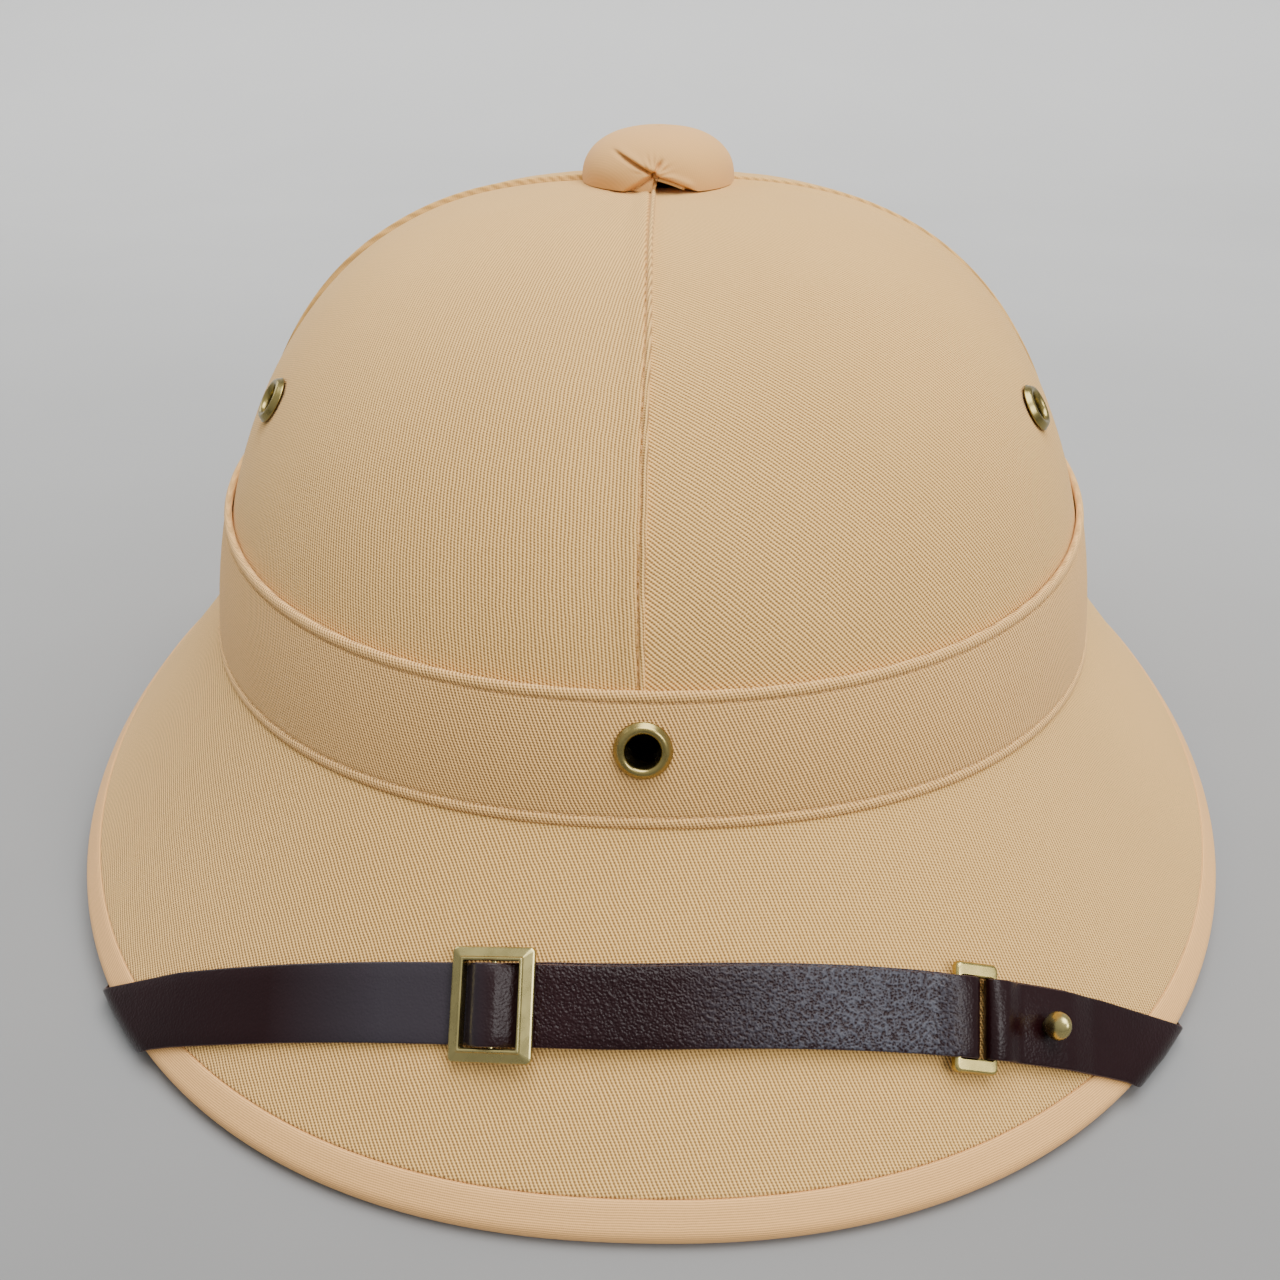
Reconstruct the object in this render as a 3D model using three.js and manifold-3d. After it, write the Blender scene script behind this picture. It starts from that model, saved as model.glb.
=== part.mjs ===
// A sun helmet: a moulded shell under cloth gores, with a band, a bound brim,
// a cloth-covered top button, three brass eyelets and a leather chin strap that
// is worn up over the front of the brim.
// Millimetres, +Z up, the front faces -Y, and the rim rests on z = 0.
import * as THREE from 'three';
import { mergeVertices } from 'three/addons/utils/BufferGeometryUtils.js';
import Module from 'manifold-3d';

const wasm = await Module();
wasm.setup();

// Brim
const brimWidth = 270;
const brimLength = 332;
const brimPower = 2.22;
const sideLift = 6.5;
const sideLiftPower = 3;
const brimDish = 1;

// Crown, over its cloth
const crownWidth = 202;
const crownLength = 235;
const crownPower = 2.2;
const crownForward = 2.4;
const crownBaseFront = 51.5;
const crownBaseSide = 49.3;
const crownTop = 138.7;
// How full the dome is: the power of its height, the power of its width, and how
// much it narrows towards the top
const frontDome = { height: 2.2, width: 2.2, taper: 0.128 };
const sideDome = { height: 2.29, width: 2.95, taper: 0.082 };
const ventRadius = 8;
const holeDepth = 30;

// Walls
const shellWall = 2.4;
const clothWall = 1;
const gap = 0.3;
const strapGap = 0.35;

// Band
const bandTopFront = 71.5;
const bandTopSide = 76.7;
const bandWall = 1.2;
const hemWall = 1.6;
const hemHeight = 2.1;
const hemStep = 0.3;

// Lapped seams of the crown: how far a lap starts before its seam and ends beyond
// it, and where before the seam it steps up off its own gore
const lapBefore = 2.2;
const lapBeyond = 1.3;
const lapStepFrom = 0.36;
const lapStepTo = 0.18;

// Binding of the brim's edge
const bindingWidth = 6.9;
const bindingUnder = 9;
const noseExtra = 0.4;
const restFlatAngle = 20;

// Top button
const buttonRadius = 17.2;
const buttonHeight = 11.5;
const buttonWall = 2;
const buttonPower = 2.35;
const buttonLift = 0.3;
const buttonAside = 0.6;
const puckerLeft = 5.4;
const puckerRight = 8.4;
const puckerHeight = 4.4;

// Eyelets
const eyeletRadius = 5.15;
const eyeletHole = 3.05;
const eyeletBarrelWall = 0.45;
const eyeletProud = 1.1;
const eyeletMouthDepth = 0.6;
const eyeletMouthFlare = 0.5;
const eyeletCrest = 1.2;
const eyeletEdgeWall = 0.5;
const eyeletWasherRadius = 4.6;
const eyeletWasherWall = 0.6;
const eyeletWasherGap = 0.75;
const frontEyeletBelowBandTop = 8.1;
const sideEyeletAboveBandTop = 24;
const sideEyeletForward = 28.5;

// Chin strap
const strapWidth = 13;
const strapWall = 1;
const strapMiddle = -3.9;
const strapBrimShare = 0.517;
const strapRimAngleLeft = 38.8;
const strapRimAngleRight = 37.1;
const strapLinePower = 1.87;
const strapBuckleAt = -22.2;
const strapRingAt = 58.6;
const strapStudAt = 72.8;
const strapTail = 6.5;
const anchorForward = 12;
const anchorAboveBase = 10;
const anchorLean = 25;
const anchorStandoff = 0.8;
// How the strap bends at its fittings, all measured along the strap: from a bar's
// middle to the bend's shoulder, to its foot and to the foot of the folded end
const ringShoulder = 1.6;
const ringFoot = 4.5;
const ringReturn = 3;
const buckleFoot = 1;
const windowFoot = 0.5;
const humpHalf = 1.25;
const foldEnd = 0.6;
const tailRamp = 6;
const looseFold = 4;
// How the hidden stretch bends, as shares of its reach
const bendStart = 1 / 3;
const bendEnd = 1 / 4;
const bendInward = 1 / 16;
const twistPower = 0.7;

// Buckle
const buckleLength = 14.3;
const buckleWidth = 18.3;
const buckleSideBar = 2.3;
const buckleEndBar = 2.2;
const buckleWall = 2;
const buckleBarLength = 1.4;
const buckleBarWall = 1.1;
const metalBevel = 0.35;

// Strap ring
const ringLength = 8;
const ringWidth = 17.9;
const ringBar = 1.1;
const ringWall = 1.4;

// Stud and anchors
const studShankRadius = 1.1;
const studNeckRadius = 1.3;
const studBallRadius = 2.35;
const studNeckHeight = 0.7;
const anchorHeadRadius = 4;
const anchorHeadWall = 1.1;
const anchorShankRadius = 1.6;

// How finely the curved pieces are cut
const columns = 48;
const brimRows = 3;
const domeRows = 7;
const wallShare = 0.55;
const buttonRows = 5;
const buttonSides = 20;
const holeSides = 10;
const eyeletSides = 10;
const studSides = 12;
const rimSteps = 6;
const underSteps = 7;
const foldSteps = 5;
const strapStep = 9;

const halfTurn = Math.PI;
const rad = THREE.MathUtils.degToRad;
const frontAngle = -halfTurn / 2;
const edgeWall = shellWall + 2 * (gap + clothWall);
const halfEdge = edgeWall / 2;
const clothInside = shellWall / 2 + gap;
const clothOutside = clothInside + clothWall;

const cloth = { color: '#cfae86', roughness: 0.92, metalness: 0 };
const bandCloth = { color: '#c8a47c', roughness: 0.92, metalness: 0 };
const bindingCloth = { color: '#d2ab86', roughness: 0.9, metalness: 0 };
const fibre = { color: '#b79a72', roughness: 0.85, metalness: 0 };
const brass = { color: '#b3a163', roughness: 0.38, metalness: 1 };
const leather = { color: '#33211f', roughness: 0.45, metalness: 0 };

const group = new THREE.Group();

// Solids

function indexedGeometry(points, faces) {
  const geometry = new THREE.BufferGeometry();
  const places = points.flatMap((p) => [p.x, p.y, p.z]);
  geometry.setAttribute('position', new THREE.Float32BufferAttribute(places, 3));
  geometry.setIndex(faces.flat());
  return geometry;
}

// Joins a row of sections, each a list of as many points. A ring of sections
// closes on itself; a row that ends has its first and last section capped, where
// a section's second half runs back beside its first half.
function loft(sections, ring) {
  const count = sections[0].length;
  const at = (i, j) => (i % sections.length) * count + (j % count);
  const faces = [];
  const steps = ring ? sections.length : sections.length - 1;
  for (let i = 0; i < steps; i += 1) {
    for (let j = 0; j < count; j += 1) {
      faces.push([at(i, j), at(i + 1, j), at(i + 1, j + 1)]);
      faces.push([at(i, j), at(i + 1, j + 1), at(i, j + 1)]);
    }
  }
  if (!ring) {
    const last = sections.length - 1;
    for (let j = 0; j < count / 2 - 1; j += 1) {
      const k = count - 1 - j;
      faces.push([at(0, j), at(0, j + 1), at(0, k - 1)]);
      faces.push([at(0, j), at(0, k - 1), at(0, k)]);
      faces.push([at(last, j), at(last, k - 1), at(last, j + 1)]);
      faces.push([at(last, j), at(last, k), at(last, k - 1)]);
    }
  }
  return outward(indexedGeometry(sections.flat(), faces));
}

function signedVolume(geometry) {
  const place = geometry.getAttribute('position');
  const index = geometry.getIndex();
  const corner = [new THREE.Vector3(), new THREE.Vector3(), new THREE.Vector3()];
  let total = 0;
  for (let i = 0; i < index.count; i += 3) {
    corner.forEach((v, k) => v.fromBufferAttribute(place, index.getX(i + k)));
    total += corner[0].dot(corner[1].clone().cross(corner[2]));
  }
  return total / 6;
}

function outward(geometry) {
  if (signedVolume(geometry) < 0) {
    const index = geometry.getIndex();
    for (let i = 0; i < index.count; i += 3) {
      const kept = index.getX(i + 1);
      index.setX(i + 1, index.getX(i + 2));
      index.setX(i + 2, kept);
    }
  }
  return geometry;
}

function toManifold(geometry) {
  const bare = geometry.clone();
  bare.deleteAttribute('normal');
  bare.deleteAttribute('uv');
  const merged = outward(mergeVertices(bare, 1e-5));
  return new wasm.Manifold(new wasm.Mesh({
    numProp: 3,
    vertProperties: new Float32Array(merged.getAttribute('position').array),
    triVerts: new Uint32Array(merged.getIndex().array),
  }));
}

function fromManifold(solid) {
  const mesh = solid.getMesh();
  const geometry = new THREE.BufferGeometry();
  geometry.setAttribute('position', new THREE.BufferAttribute(new Float32Array(mesh.vertProperties), 3));
  geometry.setIndex(new THREE.BufferAttribute(new Uint32Array(mesh.triVerts), 1));
  return geometry;
}

function cut(geometry, tools) {
  const solid = tools.reduce((left, tool) => left.subtract(toManifold(tool)), toManifold(geometry));
  return fromManifold(solid);
}

function join(geometries) {
  return fromManifold(geometries.map(toManifold).reduce((a, b) => a.add(b)));
}

function addPiece(name, geometry, finish) {
  const mesh = new THREE.Mesh(geometry, new THREE.MeshStandardMaterial(finish));
  mesh.geometry.computeVertexNormals();
  mesh.name = name;
  group.add(mesh);
  return mesh;
}

// The helmet's form. Every layer is set off from one middle surface, which is
// worked out in the upright plane at each angle about the crown's centre.

function outlineRadius(angle, half, power) {
  const across = Math.abs(Math.cos(angle)) / half.side;
  const along = Math.abs(Math.sin(angle)) / (Math.sin(angle) < 0 ? half.front : half.back);
  return (across ** power + along ** power) ** (-1 / power);
}

function rimEnd(angle) {
  const half = {
    side: brimWidth / 2,
    front: brimLength / 2 - crownForward,
    back: brimLength / 2 + crownForward,
  };
  const lift = sideLift * Math.abs(Math.cos(angle)) ** sideLiftPower;
  return {
    r: outlineRadius(angle, half, brimPower) - halfEdge,
    z: halfEdge * Math.cos(rad(restFlatAngle)) + lift,
  };
}

function crownBase(angle) {
  const half = {
    side: crownWidth / 2 - clothOutside,
    front: crownLength / 2 - clothOutside,
    back: crownLength / 2 - clothOutside,
  };
  const z = THREE.MathUtils.lerp(crownBaseFront, crownBaseSide, Math.cos(angle) ** 2);
  return { r: outlineRadius(angle, half, crownPower), z };
}

function domePowers(angle) {
  const share = Math.cos(angle) ** 2;
  const mixed = (key) => THREE.MathUtils.lerp(frontDome[key], sideDome[key], share);
  return { height: mixed('height'), width: mixed('width'), taper: mixed('taper') };
}

// The dome at a turn from 0 at its base to a quarter turn at its top
function domePoint(angle, turn) {
  const base = crownBase(angle);
  const powers = domePowers(angle);
  const up = Math.sin(turn) ** (2 / powers.height);
  const out = Math.max(Math.cos(turn), 0) ** (2 / powers.width) * (1 - powers.taper * up);
  return { r: base.r * out, z: base.z + (crownTop - clothOutside - base.z) * up };
}

function domeTurnAtHeight(angle, z) {
  const base = crownBase(angle);
  const up = (z - base.z) / (crownTop - clothOutside - base.z);
  return Math.asin(up ** (domePowers(angle).height / 2));
}

function domeTurnAtRadius(angle, radius) {
  let low = 0;
  let high = halfTurn / 2;
  for (let step = 0; step < 40; step += 1) {
    const turn = (low + high) / 2;
    if (domePoint(angle, turn).r > radius) low = turn;
    else high = turn;
  }
  return low;
}

function bandTop(angle) {
  return THREE.MathUtils.lerp(bandTopFront, bandTopSide, Math.cos(angle) ** 2);
}

// The middle surface's profile at one angle, from the rim to the vent at the top
function profile(angle) {
  const rim = rimEnd(angle);
  const base = crownBase(angle);
  const points = [];
  for (let row = 0; row < brimRows; row += 1) {
    points.push(brimPoint(rim, base, row / brimRows));
  }
  points.push(base);
  const bandTurn = domeTurnAtHeight(angle, bandTop(angle));
  points.push(domePoint(angle, bandTurn * wallShare), domePoint(angle, bandTurn));
  const endTurn = domeTurnAtRadius(angle, ventRadius);
  for (let row = 1; row <= domeRows; row += 1) {
    points.push(domePoint(angle, THREE.MathUtils.lerp(bandTurn, endTurn, row / domeRows)));
  }
  return points;
}
const baseRow = brimRows;
const bandTopRow = brimRows + 2;
// Rows that the shell's inside does without, high in the dome
const coarseRows = [bandTopRow + domeRows - 3, bandTopRow + domeRows - 1];

function brimPoint(rim, base, share) {
  return {
    r: THREE.MathUtils.lerp(rim.r, base.r, share),
    z: THREE.MathUtils.lerp(rim.z, base.z, share) - brimDish * 4 * share * (1 - share),
  };
}

// Unit step along a profile from one point to the next
function stepBetween(a, b) {
  const length = Math.hypot(b.r - a.r, b.z - a.z);
  return { r: (b.r - a.r) / length, z: (b.z - a.z) / length };
}

// A profile moved out by a distance, with its corners mitred
function offset(points, distance) {
  return points.map((p, i) => {
    const end = points.length - 1;
    const before = stepBetween(points[Math.max(i - 1, 0)], points[Math.max(i, 1)]);
    const after = stepBetween(points[Math.min(i, end - 1)], points[Math.min(i + 1, end)]);
    const mitre = 1 + before.r * after.r + before.z * after.z;
    return {
      r: p.r + (distance * (before.z + after.z)) / mitre,
      z: p.z - (distance * (before.r + after.r)) / mitre,
    };
  });
}

function place(point, angle) {
  const x = point.r * Math.cos(angle);
  const y = point.r * Math.sin(angle) - crownForward;
  return new THREE.Vector3(x, y, point.z);
}

function slide(point, step, distance) {
  return { r: point.r + step.r * distance, z: point.z + step.z * distance };
}

function ringOf(section) {
  const sections = [];
  for (let i = 0; i < columns; i += 1) {
    const angle = frontAngle + (i / columns) * 2 * halfTurn;
    sections.push(section(angle).map((p) => place(p, angle)));
  }
  return loft(sections, true);
}

// Where a hole, eyelet or rivet sits in the crown: its place on a layer and the
// way out of the wall
function wallSeat(angle, height, layer) {
  const near = 0.01;
  const onWall = (at, z) => place(domePoint(at, domeTurnAtHeight(at, z)), at);
  const side = onWall(angle + near, height).sub(onWall(angle - near, height)).normalize();
  const up = onWall(angle, height + near).sub(onWall(angle, height - near)).normalize();
  const out = new THREE.Vector3().crossVectors(side, up).normalize();
  return { point: onWall(angle, height).addScaledVector(out, layer), out, up };
}

function turnTo(geometry, seat) {
  const turn = new THREE.Quaternion().setFromUnitVectors(new THREE.Vector3(0, 1, 0), seat.out);
  return geometry.applyQuaternion(turn).translate(seat.point.x, seat.point.y, seat.point.z);
}

function hole(seat, radius) {
  return turnTo(new THREE.CylinderGeometry(radius, radius, holeDepth, holeSides), seat);
}

const barrelRadius = eyeletHole + eyeletBarrelWall;
const barrelClear = barrelRadius + gap;
const sideEyeletTurn = rad(sideEyeletForward);
const sideEyelet = { above: sideEyeletAboveBandTop, layer: clothOutside };
const bandFace = clothOutside + gap + bandWall;
const eyelets = [
  { name: 'grommet_front', angle: frontAngle, above: -frontEyeletBelowBandTop, layer: bandFace },
  { name: 'grommet_left', angle: -halfTurn + sideEyeletTurn, ...sideEyelet },
  { name: 'grommet_right', angle: -sideEyeletTurn, ...sideEyelet },
];
const anchors = [
  { side: 'left', sign: -1, angle: -halfTurn + rad(anchorForward) },
  { side: 'right', sign: 1, angle: -rad(anchorForward) },
];

function eyeletSeat(eyelet, layer) {
  return wallSeat(eyelet.angle, bandTop(eyelet.angle) + eyelet.above, layer);
}

function eyeletHoles() {
  return eyelets.map((eyelet) => hole(eyeletSeat(eyelet, 0), barrelClear));
}

function anchorHeight(angle) {
  return crownBase(angle).z + anchorAboveBase;
}

function anchorHoles() {
  return anchors.map(({ angle }) => hole(wallSeat(angle, anchorHeight(angle), 0), anchorShankRadius + gap));
}

function buildShell() {
  const body = ringOf((angle) => {
    const middle = profile(angle);
    middle[0] = slide(middle[0], stepBetween(middle[0], middle[1]), noseExtra + gap);
    const outer = offset(middle, shellWall / 2);
    const inner = offset(middle, -shellWall / 2).filter((_, row) => !coarseRows.includes(row));
    return outer.concat(inner.reverse());
  });
  addPiece('shell', cut(body, [...eyeletHoles(), ...anchorHoles()]), fibre);
}

function goreSection(angle, along) {
  const middle = profile(angle).slice(baseRow - 1);
  const outer = offset(middle, clothOutside).slice(1);
  const inner = offset(middle, clothInside).slice(1);
  const up = stepBetween(middle[1], middle[2]);
  outer[0] = slide(outer[0], up, gap / 2);
  inner[0] = slide(inner[0], up, gap / 2);
  return beside(outer.concat(inner.reverse()), angle, along);
}

function beside(section, angle, along) {
  const tangent = new THREE.Vector3(-Math.sin(angle), Math.cos(angle), 0);
  return section.map((p) => place(p, angle).addScaledVector(tangent, along));
}

function lapSection(angle, along, low, high) {
  const middle = profile(angle).slice(bandTopRow);
  middle[0] = slide(middle[0], stepBetween(middle[0], middle[1]), 2 * gap);
  return beside(offset(middle, high).concat(offset(middle, low).reverse()), angle, along);
}

// One gore of the crown, from seam to seam, with the lap along its far edge
function buildGore(name, start) {
  const count = columns / 4;
  const sections = [];
  for (let i = 0; i <= count; i += 1) {
    const angle = start + (i / columns) * 2 * halfTurn;
    sections.push(goreSection(angle, 0));
  }
  const seam = start + halfTurn / 2;
  sections[0] = goreSection(start, gap / 2);
  sections[count] = goreSection(seam, -gap / 2);
  const sunk = clothInside + clothWall / 2;
  const under = clothOutside + gap;
  const over = under + clothWall;
  const lap = [
    { along: -lapBefore, low: sunk, high: clothOutside },
    { along: -lapBefore / 2, low: sunk, high: over },
    { along: -lapStepFrom, low: sunk, high: over },
    { along: -lapStepTo, low: under, high: over },
    { along: lapBeyond, low: under, high: over },
  ];
  const strip = loft(lap.map((row) => lapSection(seam, row.along, row.low, row.high)), false);
  const body = join([loft(sections, false), strip]);
  addPiece(name, cut(body, eyeletHoles()), cloth);
}

function buildGores() {
  buildGore('crown_panel_front_right', frontAngle);
  buildGore('crown_panel_back_right', 0);
  buildGore('crown_panel_back_left', halfTurn / 2);
  buildGore('crown_panel_front_left', halfTurn);
}

function buildBand() {
  const seat = clothOutside + gap;
  const face = seat + bandWall;
  const hem = seat + hemWall;
  const body = ringOf((angle) => {
    const middle = profile(angle).slice(baseRow - 1, bandTopRow + 2);
    const layer = (distance) => offset(middle, distance);
    const inner = layer(seat);
    const flat = layer(face);
    const proud = layer(hem);
    const down = stepBetween(middle[1], middle[0]);
    const up = stepBetween(middle[1], middle[2]);
    const upTop = stepBetween(middle[2], middle[3]);
    const foot = slide(inner[1], down, hemWall / Math.abs(down.r));
    const hemEnd = slide(foot, up, hemHeight);
    const hemFoot = slide(slide(hemEnd, up, hemStep), { r: up.z, z: -up.r }, bandWall - hemWall);
    return [
      inner[1],
      foot,
      hemEnd,
      hemFoot,
      flat[2],
      slide(flat[3], upTop, -hemHeight - hemStep),
      slide(proud[3], upTop, -hemHeight),
      proud[3],
      inner[3],
      inner[2],
    ];
  });
  addPiece('band', cut(body, eyeletHoles()), bandCloth);
}

function buildBrimCover() {
  const topLeg = bindingWidth - halfEdge;
  const body = ringOf((angle) => {
    const middle = profile(angle).slice(0, baseRow + 2);
    middle[0] = slide(middle[0], stepBetween(middle[0], middle[1]), topLeg + gap);
    const outer = offset(middle, clothOutside).slice(0, baseRow + 1);
    const inner = offset(middle, clothInside).slice(0, baseRow + 1);
    const down = stepBetween(middle[baseRow], middle[baseRow - 1]);
    outer[baseRow] = slide(outer[baseRow], down, gap / 2);
    inner[baseRow] = slide(inner[baseRow], down, gap / 2);
    return outer.concat(inner.reverse());
  });
  addPiece('brim_cover', body, cloth);
}

// The brim's slope at its edge, as an angle below the level
function edgeSlope(angle) {
  const edge = profile(angle);
  const inward = stepBetween(edge[0], edge[1]);
  return Math.atan2(inward.z, -inward.r);
}

function edgeArc(angle, radius, turns) {
  const end = rimEnd(angle);
  return turns.map((turn) => ({ r: end.r + radius * Math.cos(turn), z: end.z + radius * Math.sin(turn) }));
}

function buildBinding() {
  const topLeg = bindingWidth - halfEdge;
  const flat = rad(restFlatAngle);
  const body = ringOf((angle) => {
    const slope = edgeSlope(angle);
    const middle = profile(angle).slice(0, 2);
    const inward = stepBetween(middle[0], middle[1]);
    const topTurn = halfTurn / 2 - slope;
    const restFrom = -halfTurn / 2 + flat;
    const restTo = -halfTurn / 2 - flat;
    const turns = [topTurn, (topTurn + restFrom) / 2, restFrom, restTo, -halfTurn / 2 - slope];
    const outer = edgeArc(angle, halfEdge, turns);
    const nose = slide(middle[0], inward, noseExtra);
    const inTop = { r: nose.r + inward.z * clothInside, z: nose.z - inward.r * clothInside };
    const inLow = { r: nose.r - inward.z * clothInside, z: nose.z + inward.r * clothInside };
    return [
      slide(outer[0], inward, topLeg),
      ...outer,
      slide(outer[outer.length - 1], inward, bindingUnder - halfEdge),
      slide(inLow, inward, bindingUnder - halfEdge - noseExtra),
      inLow,
      inTop,
      slide(inTop, inward, topLeg - noseExtra),
    ];
  });
  addPiece('brim_binding', body, bindingCloth);
}

function buildButton() {
  const level = crownTop + buttonLift;
  const arc = (radius, height) => {
    const points = [];
    for (let i = 0; i <= buttonRows; i += 1) {
      const turn = (i / buttonRows) * (halfTurn / 2);
      points.push(new THREE.Vector2(
        radius * Math.cos(turn) ** (2 / buttonPower),
        height * Math.sin(turn) ** (2 / buttonPower),
      ));
    }
    points[buttonRows].x = 0;
    return points;
  };
  const outer = arc(buttonRadius, buttonHeight - buttonLift);
  const inner = arc(buttonRadius - buttonWall, buttonHeight - buttonLift - buttonWall);
  const dome = new THREE.LatheGeometry([...outer.reverse(), ...inner], buttonSides);
  dome.rotateX(halfTurn / 2).translate(buttonAside, -crownForward, level);
  const pucker = new THREE.Shape([
    new THREE.Vector2(-puckerLeft, -1),
    new THREE.Vector2(puckerRight, -1),
    new THREE.Vector2(0, puckerHeight),
  ]);
  const wedge = new THREE.ExtrudeGeometry(pucker, { depth: buttonRadius * 2, bevelEnabled: false });
  wedge.rotateX(halfTurn / 2).translate(buttonAside, -crownForward, level);
  const passWidth = 2 * (lapBefore + 2 * gap);
  const passHeight = 2 * (clothWall + 2 * gap);
  const reach = 3 * buttonRadius;
  const passes = [
    new THREE.BoxGeometry(reach, passWidth, passHeight),
    new THREE.BoxGeometry(passWidth, reach, passHeight),
  ];
  passes.forEach((box) => box.translate(0, -crownForward, level));
  addPiece('top_button', cut(dome, [wedge, ...passes]), cloth);
}

function buildEyelets() {
  eyelets.forEach((eyelet) => {
    const inside = -(eyelet.layer + shellWall / 2 + eyeletWasherGap);
    const lip = eyeletProud + gap;
    const section = [
      [eyeletHole, inside - eyeletWasherWall],
      [eyeletHole, lip - eyeletMouthDepth],
      [eyeletHole + eyeletMouthFlare, lip],
      [eyeletHole + eyeletCrest, lip],
      [eyeletRadius, gap + eyeletEdgeWall],
      [eyeletRadius, gap],
      [barrelRadius, gap],
      [barrelRadius, inside],
      [eyeletWasherRadius, inside],
      [eyeletWasherRadius, inside - eyeletWasherWall],
    ].map(([r, along]) => new THREE.Vector2(r, along));
    section.push(section[0].clone());
    const ring = new THREE.LatheGeometry(section, eyeletSides);
    const seated = turnTo(ring, eyeletSeat(eyelet, eyelet.layer));
    addPiece(eyelet.name, fromManifold(toManifold(seated)), brass);
  });
}

// The strap's line over the brim, seen from above: one bow from rim to rim
class StrapLine extends THREE.Curve {
  constructor() {
    super();
    const nearest = brimPoint(rimEnd(frontAngle), crownBase(frontAngle), strapBrimShare);
    this.middle = { x: strapMiddle, y: place(nearest, frontAngle).y };
    const crossings = [frontAngle - rad(strapRimAngleLeft), frontAngle + rad(strapRimAngleRight)];
    this.ends = crossings.map((angle) => place(rimEnd(angle), angle));
  }

  getPoint(t, target = new THREE.Vector3()) {
    const [left, right] = this.ends;
    const x = THREE.MathUtils.lerp(left.x, right.x, t);
    const end = x < this.middle.x ? left : right;
    const out = Math.abs((x - this.middle.x) / (end.x - this.middle.x));
    const y = THREE.MathUtils.lerp(this.middle.y, end.y, out ** strapLinePower);
    return target.set(x, y, brimHeight(x, y));
  }
}

// How far a place lies from the brim's edge (0) to the crown (1)
function brimShare(x, y) {
  const angle = Math.atan2(y + crownForward, x);
  const r = Math.hypot(x, y + crownForward);
  const rim = rimEnd(angle);
  const base = crownBase(angle);
  return { angle, rim, base, share: (rim.r - r) / (rim.r - base.r) };
}

function brimHeight(x, y) {
  const { rim, base, share } = brimShare(x, y);
  return brimPoint(rim, base, share).z;
}

function brimNormal(x, y) {
  const near = 0.5;
  const slopeX = (brimHeight(x + near, y) - brimHeight(x - near, y)) / (2 * near);
  const slopeY = (brimHeight(x, y + near) - brimHeight(x, y - near)) / (2 * near);
  return new THREE.Vector3(-slopeX, -slopeY, 1).normalize();
}

const strapLine = new StrapLine();
const strapHalf = strapLine.getLength() / 2;

// The frame at a distance along the strap's line from its middle
function strapFrame(along) {
  const u = THREE.MathUtils.clamp((along + strapHalf) / (2 * strapHalf), 0, 1);
  const point = strapLine.getPointAt(u);
  const normal = brimNormal(point.x, point.y);
  const forward = strapLine.getTangentAt(u);
  forward.addScaledVector(normal, -forward.dot(normal)).normalize();
  const across = new THREE.Vector3().crossVectors(normal, forward);
  return { point, normal, forward, across };
}

// Heights over the brim's cloth: the middle of a strap layer on it, and of a
// second layer on the first
const layerOne = strapGap + strapWall / 2;
const layerTwo = layerOne + strapWall + gap;
const fibres = [-strapWidth / 2, 0, strapWidth / 2];

// A strap's stations from its route in the plane of the strap's line: a list of
// { a, o } with the distance along the line and the height over the cloth
function stationsOnBrim(route) {
  const fine = [];
  route.forEach((p, i) => {
    if (i > 0) {
      const q = route[i - 1];
      const parts = Math.max(1, Math.round(Math.abs(p.a - q.a) / strapStep));
      for (let k = 1; k < parts; k += 1) {
        const share = k / parts;
        fine.push({ a: THREE.MathUtils.lerp(q.a, p.a, share), o: THREE.MathUtils.lerp(q.o, p.o, share) });
      }
    }
    fine.push(p);
  });
  const flat = fine.map((p) => ({ r: p.a, z: p.o + halfEdge }));
  const faces = [offset(flat, strapWall / 2), offset(flat, -strapWall / 2)];
  return fine.map((_, i) => faces.map((face) => {
    const frame = strapFrame(face[i].r);
    return fibres.map((v) => frame.point.clone()
      .addScaledVector(frame.normal, face[i].z)
      .addScaledVector(frame.across, v));
  }));
}

// The strap round the rim and under the brim to its anchor in the crown
function stationsRoundRim(anchor) {
  const sign = anchor.sign;
  const lastAt = sign * (strapHalf - strapWidth);
  const last = strapFrame(lastAt);
  const outwards = last.forward.clone().multiplyScalar(sign);
  const crossing = fibres.map((v) => {
    const from = last.point.clone().addScaledVector(last.across, v);
    let low = 0;
    let high = 3 * strapWidth;
    for (let step = 0; step < 30; step += 1) {
      const reach = (low + high) / 2;
      const p = from.clone().addScaledVector(outwards, reach);
      if (brimShare(p.x, p.y).share > 0) low = reach;
      else high = reach;
    }
    const p = from.addScaledVector(outwards, low);
    return brimShare(p.x, p.y).angle;
  });
  const near = 0.01;
  const rimPoint = (angle) => place(rimEnd(angle), angle);
  const along = rimPoint(crossing[1] + near * sign).sub(rimPoint(crossing[1] - near * sign));
  const perTurn = along.length() / (2 * near);
  const lean = outwards.angleTo(along);
  const radius = halfEdge + layerOne;
  const advance = (halfTurn * radius) / Math.tan(lean) / perTurn;
  const stations = [];
  for (let i = 0; i <= rimSteps; i += 1) {
    const share = i / rimSteps;
    stations.push([radius - strapWall / 2, radius + strapWall / 2].map((reach) => crossing.map((start) => {
      const angle = start + sign * advance * share;
      const turn = halfTurn / 2 - edgeSlope(angle) - share * halfTurn;
      return place(edgeArc(angle, reach, [turn])[0], angle);
    })));
  }
  return stations.concat(stationsUnderBrim(anchor, stations[rimSteps]));
}

function middleOf(station) {
  return station[0][1].clone().add(station[1][1]).multiplyScalar(0.5);
}

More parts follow.
